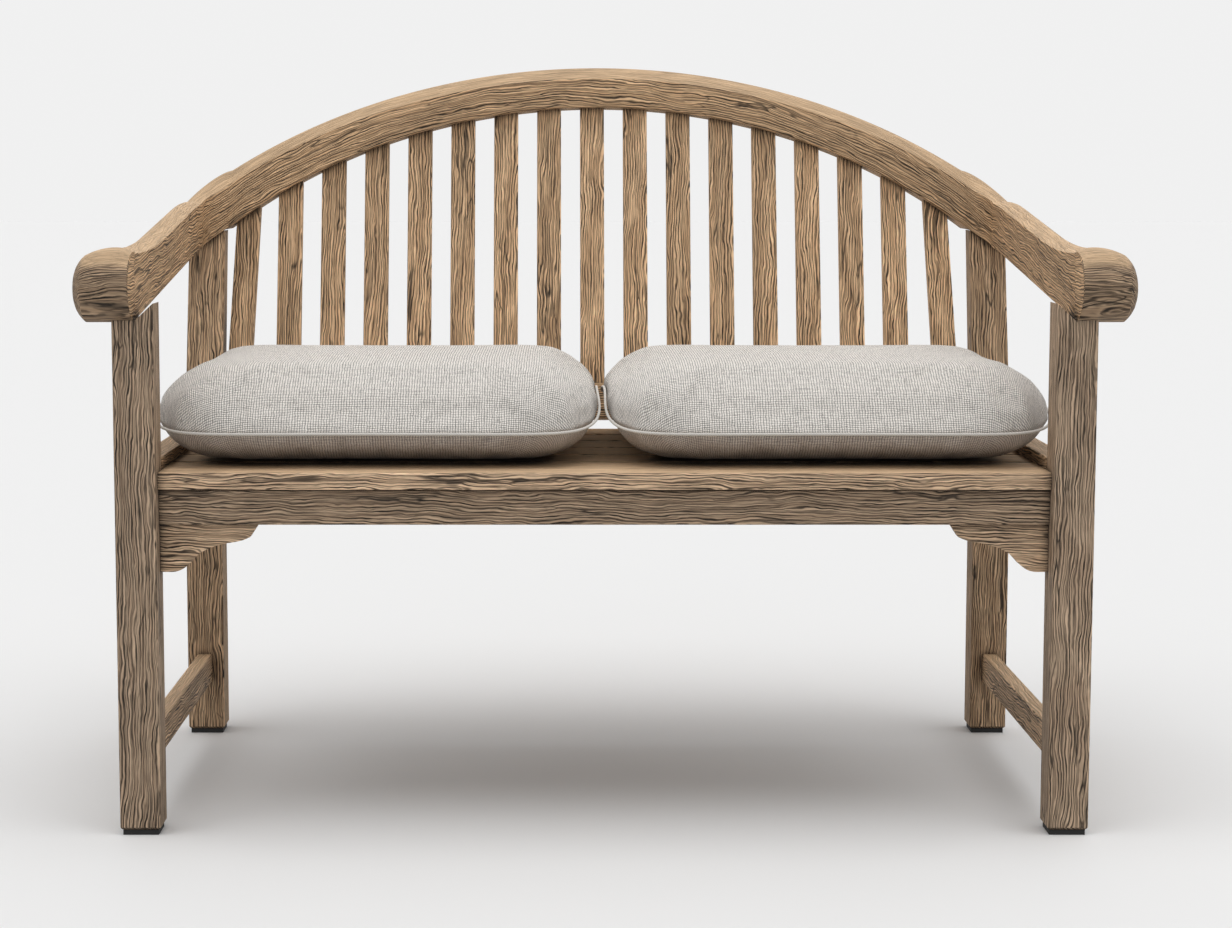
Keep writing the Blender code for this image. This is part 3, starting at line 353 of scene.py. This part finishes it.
def swept(rings, starts, closed=False):
    # a skin over rings of points; its grain map runs along the sweep and around it
    form = bmesh.new()
    ring = bmesh.ops.create_circle(form, segments=len(rings[0]), radius=1.0)["verts"]
    for vertex, point in zip(ring, rings[0]):
        vertex.co = point
    made = [ring]
    for points in rings[1:]:
        form.verts.index_update()
        made.append(grownRing(form, made[-1], points))
    mapped = {}
    for loop, start in zip(made, starts):
        around = 0.0
        for place, vertex in enumerate(loop):
            if place:
                around += (vertex.co - loop[place - 1].co).length
            mapped[vertex] = (start, around, place)
    grain = form.loops.layers.uv.new("grain")
    last = len(rings[0]) - 1
    girth = mapped[made[0][last]][1] + (made[0][0].co - made[0][last].co).length
    for face in form.faces:
        wraps = {mapped[vertex][2] for vertex in face.verts} >= {0, last}
        for corner in face.loops:
            start, around, place = mapped[corner.vert]
            if wraps and place == 0:
                around = girth
            corner[grain].uv = (start, around)
    ends = [edge for edge in form.edges if len(edge.link_faces) == 1]
    if closed:
        bmesh.ops.bridge_loops(form, edges=ends)
    else:
        for face in bmesh.ops.holes_fill(form, edges=ends, sides=0)["faces"]:
            for corner in face.loops:
                corner[grain].uv = (corner.vert.co.y, corner.vert.co.z)
    bmesh.ops.recalc_face_normals(form, faces=form.faces)
    return form


def placed(name, data):
    item = bpy.data.objects.new(name, data)
    bpy.context.scene.collection.objects.link(item)
    return item


def newPiece(name, form, sharp):
    mesh = bpy.data.meshes.new(name)
    form.to_mesh(mesh)
    form.free()
    mesh.shade_smooth()
    mesh.set_sharp_from_angle(angle=math.radians(sharp))
    return placed(name, mesh)


def settled(item):
    # the piece's mesh with its modifiers applied
    bpy.context.view_layer.update()
    seen = item.evaluated_get(bpy.context.evaluated_depsgraph_get())
    mesh = bpy.data.meshes.new_from_object(seen)
    item.modifiers.clear()
    item.data = mesh


# Arched rail and arms, with the same curves as the solids that they stand for

rail = {
    "height": 0.0608,                  # of the section, at the middle
    "growth": 0.0194,                  # of the height, towards the ends
    "thickness": 0.042,
    "tip": 0.003,                      # of the back below the front
    "crown": 0.018,                    # drop of the top from its middle to its edges
    "bulge": 0.3,                      # roundness of the crown's ridge
    "crownShares": (0.03, 0.08, 0.15, 0.23, 0.32, 0.41, 0.5, 0.59, 0.68, 0.77, 0.85, 0.92, 0.97),
    "ease": 0.0025,                    # radius of the lower edges
    "arris": 0.0003,
    "lead": 0.005,                     # of the front ahead of the posts
    "halfSpan": 0.789,                 # of the ellipse that the arch is part of
    "rise": 0.6733,
    "top": 0.4966,                     # of the arch above the kink, along the lean
    "kinkDrop": 0.0263,                # of the kink below the seat boards
    "joint": legOuter - 0.052 - 0.009,   # post width, and from the post to the joint
    "steps": 46,
    "sharp": 32,                       # degrees, from which an edge looks sharp
}
arm = {
    "inner": legOuter - 0.026,
    "seatRise": 0.1817,                # of the lower edge above the seat, at the front
    "fall": 0.150,                     # slope towards the front
    "depth": 0.0705,
    "crown": 0.006,                    # drop of the top at the inner edge
    "round": 0.016,                    # and at the outer edge
    "turnRadius": 0.033,
    "squareness": 3.0,                 # of the outer side of the turn
    "drop": 0.010,
    "easeLength": 0.080,
    "flareLength": 0.195,              # over which the arm deepens towards the scroll
    "turnSteps": 26,
    "steps": 44,
}
scroll = {
    "radius": 0.0451,
    "lead": 0.0291,                    # of its front ahead of the leg
    "drop": 0.001,
    "length": 0.0720,
    "endRadius": 0.0405,
    "endCrown": 0.0140,                # length of the rounded end
    "endPower": 3.4,
    "endShares": (0.985, 0.95, 0.90, 0.82, 0.70, 0.55, 0.38, 0.2, 0.06),
    "taper": 0.036,
    "taperSteps": 8,
    "arris": 0.0012,
    "overArm": 0.002,                  # what it is deeper than the arm's end
    "sides": 72,
}
kink = seatTop - rail["kinkDrop"]
armBase = seatTop + arm["seatRise"]
turnStart = arm["inner"] - arm["turnRadius"]
scrollCentre = scroll["radius"] - scroll["lead"]
scrollBase = armBase + arm["fall"] * scrollCentre - scroll["drop"]


def backPoint(x, up, depth):
    y = postFront + up * math.sin(backLean) + depth * math.cos(backLean)
    return Vector((x, y, kink + up * math.cos(backLean) - depth * math.sin(backLean)))


def archHeight(x):
    return rail["top"] - rail["rise"] * (1 - math.sqrt(1 - (x / rail["halfSpan"]) ** 2))


def archFall(x):
    share = x / rail["halfSpan"]
    return rail["rise"] / rail["halfSpan"] * share / math.sqrt(1 - share ** 2)


def railHeight(x):
    return rail["height"] + rail["growth"] * (x / rail["halfSpan"]) ** 2


def railRise(x):
    # height of the section measured straight up, as it stands square to the arch
    foot = x
    for _ in range(12):
        fall = archFall(foot)
        height = railHeight(foot)
        foot = x - height * fall / math.hypot(1, fall)
    return archHeight(foot) + height / math.hypot(1, fall) - archHeight(x)


def archStation(x):
    rise = railRise(x)
    inner = backPoint(x, archHeight(x), -rail["lead"])
    outer = inner + Vector((0, rail["thickness"], -rail["tip"]))
    crown = rail["crown"] * rise / railHeight(x)
    return inner, outer, Vector((0, math.sin(backLean), math.cos(backLean))), rise, (crown, crown)


def turnStations(start):
    innerStart, outerStart, leaningUp, startRise, startCrowns = start
    startFall = archFall(turnStart) * math.cos(backLean)
    radius = arm["turnRadius"]
    centreY = innerStart.y - radius
    power = 2 / arm["squareness"]
    stations = []
    for step in range(1, arm["turnSteps"] + 1):
        share = step / arm["turnSteps"]
        along = math.sin(share * math.pi / 2)
        behind = max(math.cos(share * math.pi / 2), 0)
        run = share * radius * math.pi / 2
        easing = (startFall - arm["fall"]) * run ** 2 / (2 * arm["easeLength"])
        z = innerStart.z - startFall * run + easing
        inner = Vector((turnStart + radius * along, centreY + radius * behind, z))
        outer = Vector((
            turnStart + (radius + rail["thickness"]) * along ** power,
            centreY + (outerStart.y - centreY) * behind ** power,
            z - rail["tip"] * (1 - share) - arm["drop"] * along,
        ))
        blend = share ** 2 * (3 - 2 * share)
        rise = startRise + (arm["depth"] - startRise) * blend
        goals = (arm["crown"], arm["round"])
        crowns = [was + (goal - was) * blend for was, goal in zip(startCrowns, goals)]
        up = leaningUp.lerp(Vector((0, 0, 1)), blend).normalized()
        stations.append((inner, outer, up, rise, crowns))
    return stations


def armStations(start):
    startY = start[0].y
    endY = legFront + scrollCentre
    startDepth = startY - legFront
    lift = start[0].z - armBase - arm["fall"] * startDepth
    deepening = 2 * scroll["radius"] - scroll["overArm"] - arm["depth"]
    stations = []
    for step in range(1, arm["steps"] + 1):
        y = startY + (endY - startY) * step / arm["steps"]
        eased = max(1 - (startY - y) / arm["easeLength"], 0) ** 2
        flare = max(1 - (y - endY) / arm["flareLength"], 0) ** 2
        z = armBase + arm["fall"] * (y - legFront) + lift * eased
        inner = Vector((arm["inner"], y, z))
        outer = Vector((arm["inner"] + rail["thickness"], y, z - arm["drop"] * eased))
        rise = arm["depth"] + deepening * flare
        stations.append((inner, outer, Vector((0, 0, 1)), rise, (arm["crown"], arm["round"])))
    return stations


def railOutline(station):
    # eased lower edges, flat faces and a crowned top with a fine arris along it
    inner, outer, up, rise, crowns = station
    across = (outer - inner).normalized()
    thickness = (outer - inner).length
    ease, arris, bulge = rail["ease"], rail["arris"], rail["bulge"]
    turns = (math.pi / 6, math.pi / 3)
    eased = [(ease * (1 - math.sin(a)), ease * (1 - math.cos(a))) for a in turns]
    points = [(ease, 0), *eased, (0, ease), (0, rise - crowns[0] - arris)]
    for share in rail["crownShares"]:
        crown = crowns[0] if share < 0.5 else crowns[1]
        slope = (math.hypot(2 * share - 1, bulge) - bulge) / (math.hypot(1, bulge) - bulge)
        points.append((thickness * share, rise - crown * slope))
    points += [(thickness, rise - crowns[1] - arris), (thickness, ease)]
    points += [(thickness - t, h) for t, h in reversed(eased)] + [(thickness - ease, 0)]
    return [inner + across * t + up * h for t, h in points]


def pathLengths(rings, start):
    # length of the path through the middle of each ring
    lengths = [start]
    middles = [sum(ring, Vector()) / len(ring) for ring in rings]
    for before, after in zip(middles, middles[1:]):
        lengths.append(lengths[-1] + (after - before).length)
    return lengths


def scrollRings(side):
    # entries of distance along the scroll, radius and a dip of its top
    half = rail["thickness"] / 2
    radius, endRadius, arris = scroll["radius"], scroll["endRadius"], scroll["arris"]
    entries = [(0.0, radius - arris, arm["crown"]), (arris, radius, arm["crown"] * 0.9)]
    for share in (0.2, 0.4, 0.6, 0.8, 1.0):
        entries.append((half * share, radius, arm["crown"] * (1 - share) ** 2))
    taperEnd = scroll["length"] - scroll["endCrown"]
    for step in range(1, scroll["taperSteps"] + 1):
        share = step / scroll["taperSteps"]
        narrowed = radius - (radius - endRadius) * share ** 2
        entries.append((taperEnd + scroll["taper"] * (share - 1), narrowed, 0))
    for share in scroll["endShares"]:
        along = scroll["length"] - scroll["endCrown"] * share ** scroll["endPower"]
        entries.append((along, endRadius * share, 0))
    rings = []
    for along, radius, crown in entries:
        x = arm["inner"] + along
        middle = scrollBase + max(radius, endRadius)
        ring = []
        for step in range(scroll["sides"]):
            angle = math.tau * step / scroll["sides"]
            reach = radius - crown * max(math.cos(angle), 0) ** 2
            y = legFront + scrollCentre - reach * math.sin(angle)
            ring.append(Vector((side * x, y, middle + reach * math.cos(angle))))
        rings.append(ring)
    return rings


def flipped(side, ring):
    return [Vector((side * point.x, point.y, point.z)) for point in ring]


steps = rail["steps"]
places = [rail["joint"] * step / steps for step in range(-steps, steps + 1)]
rings = [railOutline(archStation(abs(x))) for x in places]
rings = [flipped(-1, ring) if x < 0 else ring for x, ring in zip(places, rings)]
lengths = pathLengths(rings, 0)
middleLength = lengths[steps]
form = swept(rings, [length - middleLength for length in lengths])
topRail = newPiece("top_rail_timber", form, rail["sharp"])
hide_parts("top_rail")
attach(topRail, "frame")
railWood = woodMaterial("timber_rail", "uv", 5, 0.90, 0.0, 0.85)
paint(topRail, railWood)

joint = archStation(rail["joint"])
start = archStation(turnStart)
turn = turnStations(start)
path = [joint, archStation((rail["joint"] + turnStart) / 2), start] + turn + armStations(turn[-1])
for side, name in ((-1, "left"), (1, "right")):
    rings = [flipped(side, railOutline(station)) for station in path]
    lengths = pathLengths(rings, middleLength)
    form = swept(rings, [side * length for length in lengths])
    armPiece = newPiece("arm_" + name + "_timber", form, rail["sharp"])
    rings = scrollRings(side)
    form = swept(rings, pathLengths(rings, 0))
    scrollPiece = newPiece("scroll_" + name, form, rail["sharp"])
    paint(armPiece, railWood)
    # painted shade: a darker tone than the rail's wood for the scroll's front, while its upward
    # faces get painted top light
    scrollShadedWood = woodMaterial("timber_scroll_" + name, "x", 11 + side, 0.62, 0.15, 0.95)
    paint(scrollPiece, scrollShadedWood)
    scrollPiece.data.materials.append(railWood)
    for face in scrollPiece.data.polygons:
        if face.normal.x * side < -0.9:      # the flat face runs on from the arm's
            face.material_index = 1
    union = armPiece.modifiers.new("scroll", "BOOLEAN")
    union.operation = "UNION"
    union.solver = "EXACT"
    union.material_mode = "TRANSFER"
    union.object = scrollPiece
    settled(armPiece)
    bpy.data.objects.remove(scrollPiece)
    armPiece.data.set_sharp_from_angle(angle=math.radians(rail["sharp"]))
    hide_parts("arm_" + name)
    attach(armPiece, "frame")
print("rail and arms done")


# Cushions

cushionForm = {
    "merge": 0.00001,
    "inset": 0.0034,           # of the cloth's seam from the outside of the piping
    "seamPoints": 600,
    "start": 0.004,            # what it is smaller than the solid before it is blown up
    "shoulder": 0.0095,        # fuller at its sides, between seam and crown
    "shoulderFrom": 0.45,      # of the half width
    "voxel": 0.007,
    "pressure": 4.0,
    "slack": -0.02,
    "frames": 14,
    "cap": 0.008,              # on how far a point moves
    "seamHold": 0.030,         # distance from the seam over which the cloth is held
    "restHold": 0.008,         # height above the boards up to which it is held
    "pinch": 0.85,             # share of the way that the cloth is drawn to the seam
    "pinchWidth": 0.0085,
    "clearance": 0.0005,       # above the boards
    "fill": 0.8,
}
seamPath = {
    "squareness": 7.0,         # exponent of the plan, where 2 is an ellipse
    "pull": 0.003,             # of the sides inwards, between the corners
    "level": 0.55,             # of the half width, over which the seam runs level
    "rise": 0.036,             # of the seam at either side
    "height": 0.044,           # above the seat boards
    "cordInset": 0.0019,
    "cordRadius": 0.0018,
    "cordSides": 12,
    "points": 300,
}
linen = {
    "colour": (0.97, 0.920, 0.862),
    "thread": 0.0033,                  # spacing of the threads
    "turnOver": 6,                     # how sharply the threads turn down at an edge
    "roughness": 0.93,
    "sheen": (0.15, 0.6),              # weight and roughness
    "bump": 0.9,
    "bumpDepth": 0.0012,
    # painted shade near the boards and in the cloth's folds
    "creviceShade": {
        "reach": 0.035, "samples": 6,
        "stops": ((0.20, (0.20, 0.18, 0.16)), (0.78, 1.0)),
    },
    # painted shade on the downward faces, darker the more they face down
    "underside": ((0.20, (0.60, 0.56, 0.53)), (0.52, 1.0)),
}


def seamRing(middle, halves, inset, count):
    power = seamPath["squareness"]
    ring = []
    for i in range(count):
        angle = math.tau * i / count
        along = abs(math.cos(angle)) / (halves[0] - inset)
        deep = abs(math.sin(angle)) / (halves[1] - inset)
        reach = (along ** power + deep ** power) ** (-1 / power)
        reach -= seamPath["pull"] * math.cos(2 * angle) ** 2
        across = reach * math.cos(angle)
        back = reach * math.sin(angle)
        aside = max(abs(across) / halves[0] - seamPath["level"], 0) / (1 - seamPath["level"])
        lift = seamPath["rise"] * aside ** 2 * math.cos(back / halves[1] * math.pi / 2)
        height = seatTop + seamPath["height"] + lift
        ring.append(Vector((middle[0] + across, middle[1] + back, height)))
    return ring


def nearest(points):
    tree = KDTree(len(points))
    for place, point in enumerate(points):
        tree.insert(point, place)
    tree.balance()
    return tree


def blownUp(item, seam):
    # cloth under pressure, held at the seam and where it rests on the boards
    held = item.vertex_groups.new(name="held")
    before = [vertex.co.copy() for vertex in item.data.vertices]
    for place, point in enumerate(before):
        distance = seam.find(point)[2]
        hold = max(1 - distance / cushionForm["seamHold"], 0) ** 2
        if point.z < seatTop + cushionForm["restHold"]:
            hold = 1.0
        held.add([place], hold, "REPLACE")
    cloth = item.modifiers.new("cloth", "CLOTH")
    cloth.settings.use_pressure = True
    cloth.settings.uniform_pressure_force = cushionForm["pressure"]
    cloth.settings.shrink_min = cushionForm["slack"]
    cloth.settings.effector_weights.gravity = 0
    cloth.settings.vertex_group_mass = "held"
    for number in range(1, cushionForm["frames"] + 1):
        bpy.context.scene.frame_set(number)
    settled(item)
    bpy.context.scene.frame_set(1)
    for vertex, old in zip(item.data.vertices, before):
        move = vertex.co - old
        if move.length > cushionForm["cap"]:
            vertex.co = old + move * (cushionForm["cap"] / move.length)


def layWeave(form, middle, halves, seam, line):
    # threads run across the top and on down the sides, as if the cloth were cut from one piece
    weave = form.loops.layers.uv.new("weave")
    crown = max(vertex.co.z for vertex in form.verts)
    laid = {}
    for vertex in form.verts:
        across = vertex.co.x - middle[0]
        back = vertex.co.y - middle[1]
        fall = crown - vertex.co.z
        edge = line[seam.find(vertex.co)[1]]
        reachX, reachY = abs(across), abs(back)
        sideways = (reachX / halves[0]) ** linen["turnOver"]
        lengthways = (reachY / halves[1]) ** linen["turnOver"]
        share = sideways / (sideways + lengthways + 1e-9)    # never divided by nothing
        if vertex.co.z < edge.z:
            reachX += 2 * (abs(edge.x - middle[0]) - reachX) * share
            reachY += 2 * (abs(edge.y - middle[1]) - reachY) * (1 - share)
        u = math.copysign(reachX + fall * share, across)
        v = math.copysign(reachY + fall * (1 - share), back)
        laid[vertex] = (u, v)
    for face in form.faces:
        for corner in face.loops:
            corner[weave].uv = laid[corner.vert]


def shapedCushion(name, middle, halves):
    form = bmesh.new()
    form.from_mesh(nodes["cushion_" + name].data)
    bmesh.ops.remove_doubles(form, verts=form.verts, dist=cushionForm["merge"])
    bmesh.ops.subdivide_edges(form, edges=form.edges, cuts=1, use_grid_fill=True)
    form.normal_update()
    line = seamRing(middle, halves, cushionForm["inset"], cushionForm["seamPoints"])
    seam = nearest(line)
    crown = max(vertex.co.z for vertex in form.verts)
    for vertex in form.verts:
        _, place, distance = seam.find(vertex.co)
        away = min(distance / cushionForm["seamHold"], 1)
        aside = abs(vertex.co.x - middle[0]) / halves[0] - cushionForm["shoulderFrom"]
        aside = max(aside, 0) / (1 - cushionForm["shoulderFrom"])
        raised = min(max((vertex.co.z - line[place].z) / (crown - line[place].z), 0), 1)
        fuller = cushionForm["shoulder"] * aside * (2 - aside) * 4 * raised * (1 - raised)
        vertex.co += vertex.normal * (fuller - cushionForm["start"] * away)
    item = newPiece("cushion_" + name + "_linen", form, 180)
    remesh = item.modifiers.new("remesh", "REMESH")
    remesh.mode = "VOXEL"
    remesh.voxel_size = cushionForm["voxel"]
    settled(item)
    blownUp(item, seam)
    form = bmesh.new()
    form.from_mesh(item.data)
    bmesh.ops.smooth_vert(form, verts=form.verts, factor=0.5,
                          use_axis_x=True, use_axis_y=True, use_axis_z=True)
    for vertex in form.verts:
        point, _, distance = seam.find(vertex.co)
        drawn = cushionForm["pinch"] * math.exp(-(distance / cushionForm["pinchWidth"]) ** 2)
        vertex.co += (point - vertex.co) * drawn
        vertex.co.z = max(vertex.co.z, seatTop + cushionForm["clearance"])
    layWeave(form, middle, halves, seam, line)
    form.to_mesh(item.data)
    form.free()
    item.data.shade_smooth()
    smooth = item.modifiers.new("smooth", "SUBSURF")
    smooth.levels = 1
    smooth.render_levels = 1
    return item


def linenMaterial(name, seed):
    material, tree, shader = newMaterial(name)
    source = addNode(tree, "ShaderNodeUVMap", {}, uv_map="weave").outputs[0]
    laid = mapping(tree, source, Location=(seed * 0.37, seed * 0.21, 0))
    waveScale = math.tau / (20 * linen["thread"])

    def threads(direction, stretch):
        slub = noise(tree, mapping(tree, laid, Scale=stretch), 2.0, 0.6)["Fac"]
        wave = addNode(tree, "ShaderNodeTexWave", {
            "Vector": laid, "Scale": waveScale, "Distortion": 2.8, "Detail": 2.0,
            "Detail Scale": 1.1,
        }, wave_type="BANDS", bands_direction=direction, wave_profile="SIN").outputs["Fac"]
        return wave, slub

    warp, warpSlub = threads("X", (420.0, 40.0, 1.0))
    weft, weftSlub = threads("Y", (55.0, 420.0, 1.0))
    crossing = calculated(tree, "MULTIPLY", warp, weft)
    shade = ramp(tree, crossing, ((0.0, 0.22), (0.14, 1.0), (0.7, 1.14)))
    slubs = calculated(tree, "MULTIPLY", calculated(tree, "ADD", warpSlub, weftSlub), 0.5)
    unevenness = ramp(tree, slubs, ((0.36, 0.62), (0.46, 1.02), (0.60, 1.14)))
    colour = mixColours(tree, "MULTIPLY", 0.85, (*linen["colour"], 1.0), shade)
    colour = mixColours(tree, "MULTIPLY", 0.9, colour, unevenness)
    # painted shade in narrow places
    colour = creviced(tree, colour, linen["creviceShade"])
    # painted shade: downward faces darker
    upward = calculated(tree, "MULTIPLY_ADD", upwardness(tree), 0.5, 0.5)
    underside = ramp(tree, upward, linen["underside"])
    colour = mixColours(tree, "MULTIPLY", 1.0, colour, underside)
    tree.links.new(colour, shader.inputs["Base Color"])
    height = mixColours(tree, "MULTIPLY", 0.5, shade, unevenness)
    addBump(tree, shader, height, linen["bump"], linen["bumpDepth"])
    shader.inputs["Roughness"].default_value = linen["roughness"]
    shader.inputs["Sheen Weight"].default_value = linen["sheen"][0]
    shader.inputs["Sheen Roughness"].default_value = linen["sheen"][1]
    return material


twill = {
    "spacing": 0.0016,
    "slant": math.radians(35),
    "shades": ((0.0, (0.50, 0.47, 0.43)), (0.4, (0.74, 0.71, 0.66)), (1.0, (0.84, 0.81, 0.76))),
    "bump": 0.4,
    "bumpDepth": 0.0006,
    "roughness": 0.9,
}

cordCloth, tree, shader = newMaterial("cord_cloth")
source = addNode(tree, "ShaderNodeUVMap", {}, uv_map="grain").outputs[0]
ribs = addNode(tree, "ShaderNodeTexWave", {
    "Vector": mapping(tree, source, Rotation=(0, 0, twill["slant"])),
    "Scale": math.tau / (20 * twill["spacing"]), "Distortion": 2.0, "Detail": 2.0,
}).outputs["Fac"]
tree.links.new(ramp(tree, ribs, twill["shades"]), shader.inputs["Base Color"])
addBump(tree, shader, ribs, twill["bump"], twill["bumpDepth"])
shader.inputs["Roughness"].default_value = twill["roughness"]

for side, name in ((-1, "left"), (1, "right")):
    low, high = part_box("piping_" + name)
    middle = ((low[0] + high[0]) / 2, (low[1] + high[1]) / 2)
    halves = ((high[0] - low[0]) / 2 + seamPath["pull"], (high[1] - low[1]) / 2 + seamPath["pull"])
    item = shapedCushion(name, middle, halves)
    paint(item, linenMaterial("linen_" + name, 3 + side))
    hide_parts("cushion_" + name)
    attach(item, "cushion_" + name)

    route = seamRing(middle, halves, seamPath["cordInset"], seamPath["points"])
    turns = [math.tau * step / seamPath["cordSides"] for step in range(seamPath["cordSides"])]
    radius = seamPath["cordRadius"]
    rings = []
    for place, point in enumerate(route):
        ahead = (route[(place + 1) % len(route)] - route[place - 1]).normalized()
        outward = ahead.cross(Vector((0, 0, 1))).normalized()
        upward = outward.cross(ahead)
        rings.append([
            point + (outward * math.cos(turn) + upward * math.sin(turn)) * radius for turn in turns
        ])
    lengths = pathLengths(rings, 0)
    cord = newPiece("piping_" + name + "_cord", swept(rings, lengths, closed=True), 180)
    paint(cord, cordCloth)
    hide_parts("piping_" + name)
    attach(cord, "cushion_" + name)
    print("cushion", name, "done, piping length", round(lengths[-1], 3))


# Floor, light and camera

studio = {
    "floor": 0.850,
    "floorBounce": 0.55,                   # of the light that falls on it, as the object sees it
    "floorSize": 40.0,
    "backdrop": 0.875,
    "sky": 0.33,
    "topTilts": (-36, -18, 0, 18, 36),     # of the overhead lights, to the sides
    "topForward": 7,
    "topStrength": 0.41,
    "topSize": 46,
    "front": (62, -18, 0.16, 60),          # tilt forward and aside, strength and size
    "back": (-34, 8, 0.36, 50),
}


def greyOf(level):
    return (level, level, level, 1.0)


plane = bmesh.new()
bmesh.ops.create_grid(plane, x_segments=1, y_segments=1, size=studio["floorSize"])
floorMesh = bpy.data.meshes.new("floor")
plane.to_mesh(floorMesh)
plane.free()
floor = placed("floor", floorMesh)
floorPaint, tree, shader = newMaterial("floor")
looking = addNode(tree, "ShaderNodeLightPath", {}).outputs["Is Camera Ray"]
bounced, looked = greyOf(studio["floorBounce"]), greyOf(studio["floor"])
tree.links.new(mixColours(tree, "MIX", looking, bounced, looked), shader.inputs["Base Color"])
shader.inputs["Roughness"].default_value = 1.0
shader.inputs["Specular IOR Level"].default_value = 0.0
paint(floor, floorPaint)

world = bpy.data.worlds.new("studio")
bpy.context.scene.world = world
world.use_nodes = True
tree = world.node_tree
sky = tree.nodes["Background"]
sky.inputs[0].default_value = greyOf(studio["sky"])
backdrop = addNode(tree, "ShaderNodeBackground", {0: greyOf(studio["backdrop"]), 1: 1.0})
rays = addNode(tree, "ShaderNodeLightPath", {}).outputs
seen = calculated(tree, "MAXIMUM", rays["Is Camera Ray"], rays["Is Glossy Ray"])
chosen = addNode(tree, "ShaderNodeMixShader", {0: seen, 1: sky.outputs[0], 2: backdrop.outputs[0]})
tree.links.new(chosen.outputs[0], tree.nodes["World Output"].inputs[0])


def sun(name, tiltForward, tiltAside, strength, size):
    lamp = bpy.data.lights.new(name, "SUN")
    lamp.energy = strength
    lamp.angle = math.radians(size)
    tilts = (math.radians(tiltForward), math.radians(tiltAside), 0)
    placed(name, lamp).rotation_euler = Euler(tilts, "YXZ")


for number, tilt in enumerate(studio["topTilts"]):
    name = "overhead_" + str(number)
    sun(name, studio["topForward"], tilt, studio["topStrength"], studio["topSize"])
sun("front", *studio["front"])
sun("back", *studio["back"])

cameraSettings = {
    "place": (-0.0545, -2.87332, 0.7986),
    "pitch": 4.972,                        # degrees below level
    "lens": 62.668,                        # millimetres
    "sensor": 36.0,
    "shift": (0.045734, -0.077922),
}
lens = bpy.data.cameras.new("camera")
lens.lens = cameraSettings["lens"]
lens.sensor_width = cameraSettings["sensor"]
lens.sensor_fit = "HORIZONTAL"
lens.shift_x, lens.shift_y = cameraSettings["shift"]
camera = placed("camera", lens)
camera.location = cameraSettings["place"]
camera.rotation_euler = (math.radians(90 - cameraSettings["pitch"]), 0, 0)
bpy.context.scene.camera = camera
bpy.context.scene.view_settings.view_transform = "Standard"
print("studio done")
